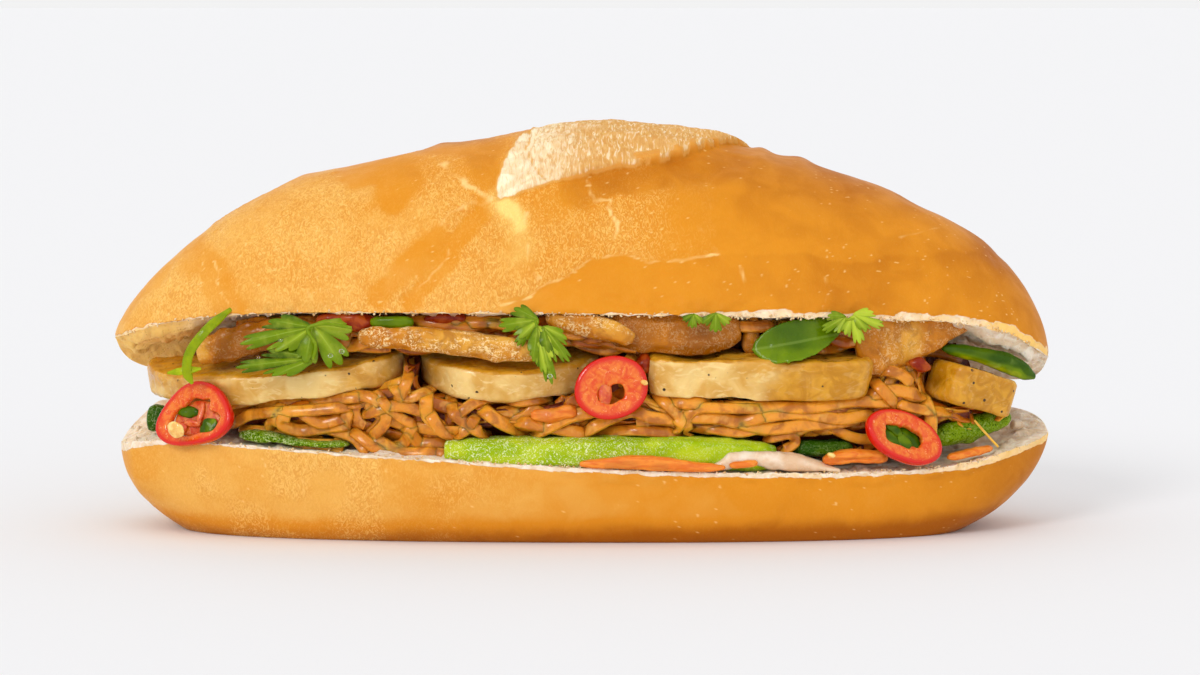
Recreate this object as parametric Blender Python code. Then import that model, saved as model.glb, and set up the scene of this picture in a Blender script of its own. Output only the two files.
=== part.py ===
"""Filled banh mi sandwich: a split wheat roll, still joined along its back, with its fillings.

Metres, +Z up. The roll lies along X, its open side faces -Y and its flat underside rests on Z = 0.
All sizes below are in millimetres, and become metres when a mesh is made.
"""

import math

import bmesh
import bpy
from mathutils import Euler, Matrix, Vector
from mathutils.bvhtree import BVHTree

for old in list(bpy.data.objects):
    bpy.data.objects.remove(old, do_unlink=True)

MM = 0.001
GAP = 0.35
PRESS_GAP = 0.55
SHARP_ANGLE = 50.0

# The roll, seen from above: a long superellipse.
HALF_LENGTH = 110.0
HALF_WIDTH = 40.0
PLAN_POWER = 2.3

# The two front lips, as heights along X, and the slopes of the cut faces behind them.
UPPER_LIP = (
    (-110, 44.5), (-97, 49.3), (-75, 52.2), (-40, 52.9),
    (20, 52.4), (80, 50.5), (98, 47.2), (110, 40),
)
LOWER_LIP = ((-110, 20), (-95, 22.5), (-50, 20.6), (30, 16.8), (85, 17.1), (110, 22.2))
UPPER_FALL = 0.364
LOWER_RISE = 0.158
UPPER_SETBACK = 2.5
UPPER_HOLLOW = 6.0
LOWER_HOLLOW = 2.5

# The hinge of uncut crust along the back.
HINGE_HALF_LENGTH = 72.0
SLIT_END = 24.0
RIM_GAP = 1.5
GROOVE_DEPTH = 3.0

# The crust: height of the crest over the cut face along X, before the ends round it off.
CREST = (
    (-110, 49), (-72, 51.5), (-45, 50.2), (-22, 51.6), (0, 53.8),
    (20, 54.3), (48, 53.2), (78, 56), (100, 61), (110, 80),
)
CREST_END_POWER = 0.6
UPPER_POWER = 2.35
LOWER_POWER = 3.0
LOWER_FULLNESS = 1.2
LOWER_END_POWERS = (8.0, 5.5)

# The torn score on top: its lower edge as heights along X, and how far it stands proud.
SCORE_EDGE = ((-22, 76), (-8, 80.5), (8, 84.5), (24, 87.5), (42, 88.5))
SCORE_RISE = 2.2
SCORE_STEP = 0.05

# Rows and points of the roll's mesh.
STATIONS = 36
OUTER_BELOW_SCORE = 8
OUTER_ABOVE_SCORE = 11
LOWER_OUTER = 13
INNER = 8


# ---------------------------------------------------------------- small tools


def through(knots, x):
    """The height at x of a smooth curve through the knots."""
    if x <= knots[0][0]:
        return float(knots[0][1])
    if x >= knots[-1][0]:
        return float(knots[-1][1])
    last = len(knots) - 1
    i = next(k for k in range(last) if x <= knots[k + 1][0])

    def slope(k):
        a, b = knots[max(k - 1, 0)], knots[min(k + 1, last)]
        return (b[1] - a[1]) / (b[0] - a[0])

    (xa, ya), (xb, yb) = knots[i], knots[i + 1]
    d = xb - xa
    t = (x - xa) / d
    t2, t3 = t * t, t * t * t
    return (
        (2 * t3 - 3 * t2 + 1) * ya + (t3 - 2 * t2 + t) * d * slope(i)
        + (3 * t2 - 2 * t3) * yb + (t3 - t2) * d * slope(i + 1)
    )


def along(points, t):
    """The point at t, from 0 to 1, of a smooth curve through a few points."""
    last = len(points) - 1
    axes = zip(*points)
    return Vector([through([(k / last, value) for k, value in enumerate(axis)], t) for axis in axes])


def signed_power(value, power):
    return math.copysign(abs(value) ** power, value)


def make_material(name, colour, roughness):
    material = bpy.data.materials.new(name)
    material.use_nodes = True
    shader = material.node_tree.nodes["Principled BSDF"]
    shader.inputs["Base Color"].default_value = (*colour, 1.0)
    shader.inputs["Roughness"].default_value = roughness
    shader.inputs["Metallic"].default_value = 0.0
    material.diffuse_color = (*colour, 1.0)
    return material


def add_object(name, bm, material):
    """Turns a closed mesh in millimetres into an object in metres, with its faces pointing out."""
    bmesh.ops.recalc_face_normals(bm, faces=bm.faces)
    bmesh.ops.scale(bm, vec=(MM, MM, MM), verts=bm.verts)
    mesh = bpy.data.meshes.new(name)
    bm.to_mesh(mesh)
    bm.free()
    mesh.shade_smooth()
    mesh.set_sharp_from_angle(angle=math.radians(SHARP_ANGLE))
    mesh.materials.append(material)
    obj = bpy.data.objects.new(name, mesh)
    bpy.context.scene.collection.objects.link(obj)
    return obj


def bridge(bm, ring_a, ring_b, closed=True):
    """Quads between two rows of the same length."""
    count = len(ring_a)
    for i in range(count if closed else count - 1):
        j = (i + 1) % count
        bm.faces.new((ring_a[i], ring_a[j], ring_b[j], ring_b[i]))


def fan(bm, ring, centre):
    """Closes a ring with triangles to one point."""
    tip = bm.verts.new(centre)
    for i, vert in enumerate(ring):
        bm.faces.new((vert, ring[(i + 1) % len(ring)], tip))


def loft(rings, ends):
    """A closed mesh through rings of points, shut at both ends by a point each."""
    bm = bmesh.new()
    rows = [[bm.verts.new(point) for point in ring] for ring in rings]
    for row_a, row_b in zip(rows, rows[1:]):
        bridge(bm, row_a, row_b)
    fan(bm, rows[0], ends[0])
    fan(bm, rows[-1], ends[1])
    return bm


# ---------------------------------------------------------------- the roll


def half_width(x):
    s = min(1.0, abs(x) / HALF_LENGTH)
    return HALF_WIDTH * max(0.0, 1.0 - s**PLAN_POWER) ** (1.0 / PLAN_POWER)


def upper_front(x):
    """The upper front lip, as (y, z). It is set back a little behind the lower one."""
    w = half_width(x)
    return -w + UPPER_SETBACK * w / HALF_WIDTH, through(UPPER_LIP, x)


def lower_front(x):
    return -half_width(x), through(LOWER_LIP, x)


def upper_plane(x, y):
    front = upper_front(x)
    return front[1] - UPPER_FALL * (y - front[0])


def lower_plane(x, y):
    front = lower_front(x)
    return front[1] + LOWER_RISE * (y - front[0])


def is_hinged(x):
    return abs(x) < HINGE_HALF_LENGTH


def rear_rims(x):
    """(upper, lower) rear rims, each as (y, z), where the crust of each half ends at the back."""
    w = half_width(x)
    high, low = upper_plane(x, w), lower_plane(x, w)
    middle = 0.5 * (high + low)
    gap = max(high - low, RIM_GAP * w / HALF_WIDTH)
    return (w, middle + 0.5 * gap), (w, middle - 0.5 * gap)


def slit_end(x):
    """How far back the cut goes: to the hinge, or right through near the tips."""
    return SLIT_END if is_hinged(x) else half_width(x)


def hollow(x, y, front):
    """0 at both edges of a cut face, 1 in its middle, and less near the tips."""
    w = half_width(x)
    span = max(slit_end(x) - front, 1e-6)
    t = min(1.0, max(0.0, (y - front) / span))
    return math.sin(math.pi * t) ** 1.3 * (w / HALF_WIDTH) ** 1.5


def roof(x, y):
    """Underside of the upper half."""
    return upper_plane(x, y) + UPPER_HOLLOW * hollow(x, y, upper_front(x)[0])


def bed(x, y):
    """Top of the lower half."""
    return lower_plane(x, y) - LOWER_HOLLOW * hollow(x, y, lower_front(x)[0])


def crest_height(x):
    s = min(1.0, abs(x) / HALF_LENGTH)
    return through(CREST, x) * (1.0 - s * s) ** CREST_END_POWER


def belly_depth(x):
    """Depth of the lower crust under its cut face, before it is flattened where it rests."""
    s = min(1.0, abs(x) / HALF_LENGTH)
    power = LOWER_END_POWERS[x > 0]
    middle = 0.5 * (lower_front(x)[1] + rear_rims(x)[1][1])
    return middle * LOWER_FULLNESS * (1.0 - s**power) ** 0.65


def arc_point(front, rear, height, power, angle):
    """A point (y, z) of a superellipse arc that stands on the line from front to rear."""
    a = -signed_power(math.cos(angle), 2.0 / power)
    h = abs(math.sin(angle)) ** (2.0 / power)
    dy, dz = 0.5 * (rear[0] - front[0]), 0.5 * (rear[1] - front[1])
    half = max(math.hypot(dy, dz), 1e-6)
    y = 0.5 * (front[0] + rear[0]) + a * dy - h * height * dz / half
    z = 0.5 * (front[1] + rear[1]) + a * dz + h * height * dy / half
    return y, z


def upper_crust(x, angle, proud=0.0):
    """A point of the upper crust: angle 0 is the front lip, pi the rear rim."""
    return arc_point(upper_front(x), rear_rims(x)[0], crest_height(x) + proud, UPPER_POWER, angle)


def lower_crust(x, angle):
    y, z = arc_point(lower_front(x), rear_rims(x)[1], -belly_depth(x), LOWER_POWER, angle)
    return y, max(z, 0.0)


def angle_at_height(x, wanted):
    """The angle at which the front of the upper crust reaches a height."""
    low, high = 0.2, 1.45
    for _ in range(24):
        middle = 0.5 * (low + high)
        if upper_crust(x, middle)[1] < wanted:
            low = middle
        else:
            high = middle
    return low


SCORE_ANGLES = [(x, angle_at_height(x, z)) for x, z in SCORE_EDGE]


def score_rise(x):
    """How far the score stands proud at x: highest in its middle, nothing at its ends."""
    first, last = SCORE_EDGE[0][0], SCORE_EDGE[-1][0]
    t = (x - first) / (last - first)
    return SCORE_RISE * math.sin(math.pi * t) ** 0.5 if 0.0 < t < 1.0 else 0.0


def upper_crust_row(x):
    """The upper crust at x from the rear rim to the front lip, with a ledge at the score's edge."""
    edge = through(SCORE_ANGLES, x)
    rise = score_rise(x)
    angles = [edge * k / OUTER_BELOW_SCORE for k in range(OUTER_BELOW_SCORE + 1)]
    row = [upper_crust(x, angle) for angle in angles]
    start = edge + SCORE_STEP
    for k in range(OUTER_ABOVE_SCORE + 1):
        t = k / OUTER_ABOVE_SCORE
        row.append(upper_crust(x, start + (math.pi - start) * t, rise * (1.0 - t) ** 2))
    return [(x, y, z) for y, z in reversed(row)]


def lower_crust_row(x):
    """The lower crust at x, from the front lip round the belly to the rear rim."""
    angles = [math.pi * k / LOWER_OUTER for k in range(LOWER_OUTER + 1)]
    return [(x, *lower_crust(x, angle)) for angle in angles]


def cut_face_row(x, surface, front):
    """A cut face at x, from its front lip to the end of the slit, without the lip itself."""
    end = slit_end(x)
    ys = [front + (end - front) * k / INNER for k in range(1, INNER + 1)]
    return [(x, y, surface(x, y)) for y in ys]


def build_bread():
    """The roll in one piece. Rows of points run round each half, and a web joins them at the back."""
    bm = bmesh.new()
    xs = [-HALF_LENGTH * math.cos(math.pi * k / STATIONS) for k in range(1, STATIONS)]
    halves = ([], [])
    groove = {}
    for x in xs:
        upper = upper_crust_row(x)
        upper += cut_face_row(x, roof, upper_front(x)[0])
        lower = list(reversed(lower_crust_row(x)))
        lower += cut_face_row(x, bed, lower_front(x)[0])
        rows = []
        for points in (upper, lower):
            if not is_hinged(x):
                points = points[:-1]
            rows.append([bm.verts.new(point) for point in points])
            if not is_hinged(x):
                # The cut comes out through the back, so the row ends where it began.
                rows[-1].append(rows[-1][0])
        for half, row in zip(halves, rows):
            half.append(row)
        if is_hinged(x):
            (y, high), (_, low) = rear_rims(x)
            groove[len(halves[0]) - 1] = bm.verts.new((x, y - GROOVE_DEPTH, 0.5 * (high + low)))
    for half in halves:
        for row_a, row_b in zip(half, half[1:]):
            bridge_rows(bm, row_a, row_b)
    join_hinge(bm, halves, groove)
    for half, lip in zip(halves, (UPPER_LIP, LOWER_LIP)):
        for row, x in ((half[0], -HALF_LENGTH), (half[-1], HALF_LENGTH)):
            fan(bm, row[:-1], (x, 0.0, through(lip, x)))
    return bm


def bridge_rows(bm, row_a, row_b):
    """Faces between two rows. Where only one is hinged, a triangle closes the slit's end."""
    for i in range(len(row_a) - 1):
        bm.faces.new((row_a[i], row_a[i + 1], row_b[i + 1], row_b[i]))
    if (row_a[0] is row_a[-1]) != (row_b[0] is row_b[-1]):
        hinged, open_row = (row_b, row_a) if row_a[0] is row_a[-1] else (row_a, row_b)
        bm.faces.new((hinged[0], hinged[-1], open_row[0]))


def join_hinge(bm, halves, groove):
    """The web behind the slit: a strip inside, a grooved strip outside, and a face at each end."""
    upper, lower = halves
    stations = sorted(groove)
    for a, b in zip(stations, stations[1:]):
        bm.faces.new((upper[a][0], upper[b][0], groove[b], groove[a]))
        bm.faces.new((groove[a], groove[b], lower[b][0], lower[a][0]))
        bm.faces.new((upper[a][-1], upper[b][-1], lower[b][-1], lower[a][-1]))
    for k in (stations[0], stations[-1]):
        bm.faces.new((upper[k][0], groove[k], lower[k][0], lower[k][-1], upper[k][-1]))


# ---------------------------------------------------------------- the fillings


def lip_point(x, inset, z):
    """A point in the opening: inset is how far it lies behind the lower front lip."""
    return Vector((x, -half_width(x) + inset, z))


def settle(point):
    """Presses a point of a filling between the two cut faces."""
    x, y, z = point
    low, high = bed(x, y) + PRESS_GAP, roof(x, y) - PRESS_GAP
    return Vector((x, y, min(max(z, low), high)))


def end_taper(t, power):
    """1 along the middle of a strip, falling to 0 at both ends; a high power gives blunt ends."""
    return max(0.0, 1.0 - abs(2.0 * t - 1.0) ** power) ** (1.0 / power)


def build_strip(path, height, depth, pitch=0.0, blunt=4.0, corner=3.0, slim=1.0, stations=7, sides=8):
    """A cut strip that follows a path of (x, inset, z) points, with a rounded section.

    slim is the size of its far end against its near one.
    """
    centres = [lip_point(*point) for point in path]
    rings = []
    ts = [0.5 - 0.5 * math.cos(math.pi * (k + 0.35) / (stations - 0.3)) for k in range(stations)]
    for t in ts:
        centre = along(centres, t)
        ahead = (along(centres, min(1.0, t + 0.03)) - along(centres, max(0.0, t - 0.03))).normalized()
        side = Vector((0, 0, 1)).cross(ahead)
        side = side.normalized() if side.length > 0.2 else Vector((0, 1, 0))
        up = ahead.cross(side).normalized()
        turn = Matrix.Rotation(math.radians(pitch), 3, ahead)
        side, up = turn @ side, turn @ up
        taper = end_taper(t, blunt) * (1.0 + (slim - 1.0) * t)
        ring = []
        for k in range(sides):
            angle = 2.0 * math.pi * (k + 0.5) / sides
            across = 0.5 * depth * taper * signed_power(math.cos(angle), 2.0 / corner)
            upward = 0.5 * height * taper * signed_power(math.sin(angle), 2.0 / corner)
            ring.append(settle(centre + side * across + up * upward))
        rings.append(ring)
    return loft(rings, (settle(along(centres, 0.0)), settle(along(centres, 1.0))))


def half_moon(radius, depth, points=18):
    """Outline of a half slice: a curved front and a straight back."""
    front = [math.pi * k / points for k in range(points + 1)]
    arc = [(-radius * math.cos(a), -depth * math.sin(a) ** 0.9) for a in front]
    back = [(radius * (1.0 - 2.0 * k / 5.0), 1.2) for k in range(1, 5)]
    return arc + back


def rounded_block(length, depth, corner=5.0, points=22):
    """Outline of a block cut square, with its corners rounded."""
    outline = []
    for k in range(points):
        angle = 2.0 * math.pi * (k + 0.5) / points
        outline.append((
            0.5 * length * signed_power(math.cos(angle), 2.0 / corner),
            0.5 * depth * signed_power(math.sin(angle), 2.0 / corner),
        ))
    return outline


def build_slab(outline, thickness, place, turn, round_edge=0.9):
    """A slice with rounded edges. place is (x, inset, z) of its middle, turn its (roll, pitch, yaw)."""
    roll, pitch, yaw = (math.radians(angle) for angle in turn)
    frame = Matrix.Translation(lip_point(*place)) @ Euler((pitch, roll, yaw)).to_matrix().to_4x4()
    inner = 1.0 - round_edge / max(math.hypot(u, v) for u, v in outline)
    half = 0.5 * thickness
    layers = (
        (0.55, -half), (inner, -half), (1.0, -half + round_edge),
        (1.0, half - round_edge), (inner, half), (0.55, half),
    )
    rings = []
    for scale, z in layers:
        ring = [Vector((u * scale, v * scale, z)) for u, v in outline]
        rings.append([settle(frame @ point) for point in ring])
    ends = [settle(frame @ Vector((0, 0, z))) for z in (-half, half)]
    return loft(rings, ends)


def build_ring(place, turn, radii, wall, width, sides=15, corners=7):
    """A slice across a chilli: an oval ring of flesh. wall is radial, width along its axis."""
    roll, pitch, yaw = (math.radians(angle) for angle in turn)
    frame = Matrix.Translation(lip_point(*place)) @ Euler((pitch, roll, yaw)).to_matrix().to_4x4()
    bm = bmesh.new()
    rows = []
    for k in range(sides):
        angle = 2.0 * math.pi * k / sides
        wobble = 1.0 + 0.05 * math.sin(2.0 * angle + 0.7)
        row = []
        for j in range(corners):
            turn_angle = 2.0 * math.pi * (j + 0.5) / corners
            inward = 0.5 * wall * (1.0 - signed_power(math.cos(turn_angle), 0.7))
            out = wobble * (1.0 - inward / max(radii))
            point = Vector((
                radii[0] * out * math.cos(angle),
                radii[1] * out * math.sin(angle),
                0.5 * width * signed_power(math.sin(turn_angle), 0.7),
            ))
            row.append(bm.verts.new(frame @ point))
        rows.append(row)
    for k in range(sides):
        bridge(bm, rows[k], rows[(k + 1) % sides])
    return bm


def build_leaf(path, width, thickness, fold, lean, stations=9, across=6):
    """A leaf blade that follows a path, folded along its midrib and closed all round."""
    centres = [lip_point(*point) for point in path]
    rings = []
    for k in range(stations):
        t = (k + 0.4) / (stations - 0.2)
        centre = along(centres, t)
        ahead = (along(centres, min(1.0, t + 0.03)) - along(centres, max(0.0, t - 0.03))).normalized()
        side = (Matrix.Rotation(math.radians(lean), 3, ahead) @ Vector((0, 0, 1)).cross(ahead)).normalized()
        up = ahead.cross(side).normalized()
        half = 0.5 * width * math.sin(math.pi * min(1.0, t * 1.02)) ** 0.7
        top, bottom = [], []
        for j in range(across + 1):
            s = 2.0 * j / across - 1.0
            lift = fold * abs(s) ** 1.5 * half
            edge = 0.5 * thickness * (1.0 - 0.7 * s * s)
            point = centre + side * (s * half)
            top.append(settle(point + up * (lift + edge)))
            bottom.append(settle(point + up * (lift - edge)))
        rings.append(top + bottom[::-1])
    return loft(rings, (settle(along(centres, 0.0)), settle(along(centres, 1.0))))


# ---------------------------------------------------------------- the noodle heap

HEAP_ENDS = (-93.0, 92.0)
HEAP_STATIONS = 22
HEAP_BROW = 43.0
HEAP_SET_BACK = 14.0
HEAP_CLEARANCE = 1.0


def heap_section(x):
    """The heap's outline at x, as (y, z) points: a lumpy front, low enough to leave the top strips clear."""
    w = half_width(x)
    lump = 0.9 * math.sin(x * 0.31) + 0.6 * math.sin(x * 0.73 + 1.0)
    front = -w + 5.0 + lump
    back = min(SLIT_END, w - 5.0) - 2.5
    step = -w + HEAP_SET_BACK * min(1.0, w / 30.0)
    brow = min(HEAP_BROW, roof(x, front + 2.0) - 5.0)
    low = bed(x, front) + HEAP_CLEARANCE
    outline = [(front + 2.0, low), (front, low + 4.0), (front - 0.5, 0.5 * (low + brow)), (front, brow - 2.0),
               (front + 2.5, brow), (step, brow + 0.5)]
    for k in range(5):
        y = step + 1.0 + (back - step - 1.0) * k / 4.0
        outline.append((y, roof(x, y) - HEAP_CLEARANCE))
    for k in range(4):
        y = back + (front + 4.0 - back) * k / 4.0
        outline.append((y, bed(x, y) + HEAP_CLEARANCE))
    return outline


def build_noodle_heap():
    rings = []
    first, last = HEAP_ENDS
    for k in range(HEAP_STATIONS):
        t = k / (HEAP_STATIONS - 1)
        x = first + (last - first) * t
        outline = heap_section(x)
        centre_y = sum(y for y, _ in outline) / len(outline)
        centre_z = sum(z for _, z in outline) / len(outline)
        swell = 0.55 + 0.45 * end_taper(0.03 + 0.94 * t, 12.0)
        rings.append([
            Vector((x, centre_y + (y - centre_y) * swell, centre_z + (z - centre_z) * swell))
            for y, z in outline
        ])
    ends = []
    for ring, nudge in ((rings[0], -2.0), (rings[-1], 2.0)):
        middle = sum(ring, Vector()) / len(ring)
        ends.append(middle + Vector((nudge, 0, 0)))
    return loft(rings, ends)


# ---------------------------------------------------------------- pieces, placed

CRUST = make_material("crust", (0.72, 0.36, 0.09), 0.45)
NOODLE = make_material("glass noodle", (0.55, 0.30, 0.08), 0.35)
HAM = make_material("vegetarian ham", (0.82, 0.66, 0.38), 0.4)
TOFU = make_material("fried tofu", (0.60, 0.34, 0.10), 0.4)
CUCUMBER = make_material("cucumber", (0.35, 0.55, 0.12), 0.3)
CARROT = make_material("carrot", (0.85, 0.30, 0.06), 0.4)
CHILLI = make_material("red chilli", (0.75, 0.06, 0.03), 0.25)
LEAF = make_material("green leaf", (0.08, 0.28, 0.03), 0.35)
ONION = make_material("onion", (0.85, 0.80, 0.68), 0.35)

# Each slab: outline, thickness, (x, inset, z) of its middle, (roll, pitch, yaw) in degrees.
HAM_SLICES = (
    (half_moon(32.0, 17.0), 7.0, (-70.6, 21.5, 38.8), (-4.0, 15.0, -18.0)),
    (half_moon(20.5, 17.0), 7.5, (-16.4, 19.5, 40.6), (0.0, 16.0, -2.0)),
    (rounded_block(51.0, 15.0), 9.2, (40.5, 9.5, 38.2), (1.0, 6.0, 4.0)),
    (rounded_block(19.0, 13.0), 9.0, (90.2, 8.2, 34.0), (16.0, 6.0, 33.0)),
)

# Each strip: path of (x, inset, z), height, depth, then its own section or ends where they differ.
TOFU_STRIPS = (
    ([(-88, 5.5, 42.0), (-75, 6.5, 46.6), (-52.5, 7.5, 49.0)], 8.0, 6.0, {}),
    ([(-50.5, 4, 47.2), (-36, 3, 47.0), (-22, 2.5, 45.4), (-7.5, 3, 44.2)], 6.2, 6.0, {}),
    ([(-8.2, 6, 50.8), (2, 5, 49.4), (12.4, 4, 46.8)], 4.4, 5.0, {}),
    ([(11.5, 9, 48.6), (24, 9, 47.4), (35.6, 9, 48.2)], 7.8, 6.0, {}),
    ([(39.6, 9.5, 50.4), (37.8, 9.5, 44.8)], 3.0, 3.4, {}),
    ([(63, 7.5, 49.0), (70.5, 8, 45.0), (92, 7, 47.6)], 10.5, 6.0, {"blunt": 2.6, "slim": 0.4}),
)
CUCUMBERS = (
    ([(-31.5, 8, 21.8), (-8, 7.6, 21.6), (20, 7.6, 22.2), (44.5, 7.6, 20.6)], 5.8, 10.0, {"blunt": 6.0}),
    ([(-78.5, 5, 24.0), (-66, 5, 23.2), (-53, 6, 22.8)], 3.4, 7.0, {}),
    ([(48.5, 8, 21.2), (62, 8, 21.2)], 4.0, 6.0, {}),
    ([(81, 9, 23.4), (90, 8.5, 22.8), (99.5, 7.5, 24.6)], 6.0, 5.0, {}),
    ([(-101, 6, 26.6), (-96, 9, 26.4)], 6.5, 5.0, {}),
)
CARROTS = (
    ([(-0.5, 0.8, 19.6), (16, 0.6, 19.2), (32.8, 0.8, 18.6)], 2.6, 3.0, {}),
    ([(55, 2.5, 19.0), (62, 2.5, 20.0), (70, 3.0, 19.2)], 3.4, 4.0, {}),
    ([(33.5, 0.8, 18.4), (40, 0.8, 18.9)], 1.8, 2.6, {}),
    ([(84, 1.6, 18.8), (95, 2.4, 20.4)], 2.2, 2.8, {}),
    ([(-11.5, 3.5, 29.5), (-1.0, 3.5, 30.5)], 3.8, 3.0, {}),
)
CHILLI_RINGS = (
    ((-88.5, -0.6, 28.6), (-8.0, 74.0, -26.0), (9.6, 7.6), 2.3, 2.6),
    ((6.8, 1.5, 36.1), (0.0, 84.0, 4.0), (8.1, 7.5), 5.0, 2.4),
    ((73.6, 0.5, 23.8), (26.0, 62.0, 14.0), (9.6, 7.0), 2.3, 2.6),
)


def add_fillings():
    """Every filling but the noodles, as (object, reach). carve says what reach is."""
    added = []

    def add(name, bm, material, reach):
        added.append((add_object(name, bm, material), reach))

    for k, (outline, thickness, place, turn) in enumerate(HAM_SLICES, 1):
        add(f"ham_slice_{k}", build_slab(outline, thickness, place, turn), HAM, (10.0, 12.0))
    strips = (
        ("fried_tofu", TOFU_STRIPS, TOFU, (0.0, 12.0)),
        ("cucumber", CUCUMBERS, CUCUMBER, (10.0, -12.0)),
        ("carrot", CARROTS, CARROT, (4.0, -8.0)),
    )
    for name, rows, material, reach in strips:
        for k, (path, height, depth, options) in enumerate(rows, 1):
            add(f"{name}_{k}", build_strip(path, height, depth, **options), material, reach)
    for k, (place, turn, radii, wall, width) in enumerate(CHILLI_RINGS, 1):
        add(f"chilli_ring_{k}", build_ring(place, turn, radii, wall, width), CHILLI, (0.0, 0.0))
    leaf_path = [(38.5, 4.5, 45.4), (49, 3.0, 46.2), (61, 5.5, 50.0)]
    add("green_leaf", build_leaf(leaf_path, 8.0, 1.0, 0.25, 62.0), LEAF, (0.0, 0.0))
    roll_path = [(-49, 10, 49.8), (-39, 10, 49.8)]
    add("rolled_leaf", build_strip(roll_path, 3.0, 3.0, stations=6), LEAF, (0.0, 6.0))
    stem_path = [(-82.5, 1.2, 50.4), (-88.0, 0.2, 44.5), (-91, 0.2, 37)]
    add("spring_onion", build_strip(stem_path, 2.0, 1.6, corner=2.2), LEAF, (0.0, 0.0))
    pod_path = [(83, 8, 43.6), (93, 7, 41.4), (106, 2.5, 35.9)]
    add("green_pod", build_strip(pod_path, 3.8, 3.8, corner=2.2, blunt=2.6), LEAF, (0.0, 6.0))
    onion_path = [(101.2, 16.0, 23.8), (104.0, 14.5, 23.4)]
    add("onion_strip", build_strip(onion_path, 2.6, 2.6, stations=6), ONION, (0.0, -6.0))
    return added


def carve(soft, hard, reach):
    """Cuts a filling's space, with a small gap, out of the noodles where they touch it.

    The cutter is the hull of the filling and of its copies moved by reach, (forward, up), so that no
    thin flake of noodle is left in front of it, or between it and the bread that presses on it.
    """
    bm = bmesh.new()
    normals = [Vector(normal.vector) for normal in hard.data.vertex_normals]
    for vert, normal in zip(hard.data.vertices, normals):
        grown = vert.co + normal * (GAP * MM)
        for forward in {0.0, reach[0]}:
            for lift in {0.0, reach[1]}:
                bm.verts.new(grown + Vector((0, -forward, lift)) * MM)
    hull = bmesh.ops.convex_hull(bm, input=bm.verts)
    spare = set(hull["geom_interior"]) | set(hull["geom_unused"])
    inside = [item for item in spare if isinstance(item, bmesh.types.BMVert)]
    bmesh.ops.delete(bm, geom=inside, context="VERTS")
    bmesh.ops.recalc_face_normals(bm, faces=bm.faces)
    noodles = bmesh.new()
    noodles.from_mesh(soft.data)
    touching = BVHTree.FromBMesh(bm).overlap(BVHTree.FromBMesh(noodles))
    noodles.free()
    if touching:
        mesh = bpy.data.meshes.new(f"cutter_{hard.name}")
        bm.to_mesh(mesh)
        cutter = bpy.data.objects.new(mesh.name, mesh)
        bpy.context.scene.collection.objects.link(cutter)
        cutter.hide_render = True
        cutter.display_type = "WIRE"
        cut = soft.modifiers.new(cutter.name, "BOOLEAN")
        cut.operation = "DIFFERENCE"
        cut.solver = "EXACT"
        cut.object = cutter
    bm.free()


def centre_on_base(objects, cutters):
    """Moves every mesh so that the origin is under the middle of the whole, where it rests."""
    points = [vert.co for obj in objects for vert in obj.data.vertices]
    shift = Vector([
        -0.5 * (min(point[axis] for point in points) + max(point[axis] for point in points))
        for axis in (0, 1)
    ] + [0.0])
    for obj in objects + cutters:
        obj.data.transform(Matrix.Translation(shift))


def build():
    bread = add_object("bread", build_bread(), CRUST)
    heap = add_object("noodle_heap", build_noodle_heap(), NOODLE)
    fillings = add_fillings()
    for filling, reach in fillings:
        carve(heap, filling, reach)
    cutters = [cut.object for cut in heap.modifiers]
    centre_on_base([bread, heap] + [filling for filling, _ in fillings], cutters)


build()
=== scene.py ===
"""A filled banh mi sandwich: the looks of each piece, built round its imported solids."""

import itertools
import math

import bmesh
import bpy
import numpy as np
from mathutils import Euler, Matrix, Vector, noise


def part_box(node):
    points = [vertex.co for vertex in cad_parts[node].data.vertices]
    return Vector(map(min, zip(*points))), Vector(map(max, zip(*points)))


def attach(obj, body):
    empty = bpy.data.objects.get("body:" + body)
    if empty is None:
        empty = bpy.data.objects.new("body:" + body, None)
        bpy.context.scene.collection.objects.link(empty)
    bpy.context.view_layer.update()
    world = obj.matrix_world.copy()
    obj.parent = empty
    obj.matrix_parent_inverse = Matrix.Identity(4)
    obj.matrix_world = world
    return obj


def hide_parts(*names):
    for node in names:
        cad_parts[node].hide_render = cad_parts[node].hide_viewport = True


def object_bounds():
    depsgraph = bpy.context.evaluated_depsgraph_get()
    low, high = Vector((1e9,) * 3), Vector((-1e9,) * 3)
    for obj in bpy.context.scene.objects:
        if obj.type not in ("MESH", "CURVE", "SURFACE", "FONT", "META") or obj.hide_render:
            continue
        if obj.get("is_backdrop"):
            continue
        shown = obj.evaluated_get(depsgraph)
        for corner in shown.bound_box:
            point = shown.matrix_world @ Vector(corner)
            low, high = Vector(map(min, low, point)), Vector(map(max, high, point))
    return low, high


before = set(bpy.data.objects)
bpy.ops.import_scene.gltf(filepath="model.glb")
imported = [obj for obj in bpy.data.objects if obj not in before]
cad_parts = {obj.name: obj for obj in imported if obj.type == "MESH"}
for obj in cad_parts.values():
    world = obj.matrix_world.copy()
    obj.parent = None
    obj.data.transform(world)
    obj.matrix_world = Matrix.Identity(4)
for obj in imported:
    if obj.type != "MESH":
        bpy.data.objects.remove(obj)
packed_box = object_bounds()

# ==== The roll =====================================================================
# A long wheat roll with a thin, egg-coloured crust, cut open along its front and still
# joined along its back. It is proofed, scored once on top and baked until it is golden.
# Each half is lofted here from rows of points that run round it, one row for each x.

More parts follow.
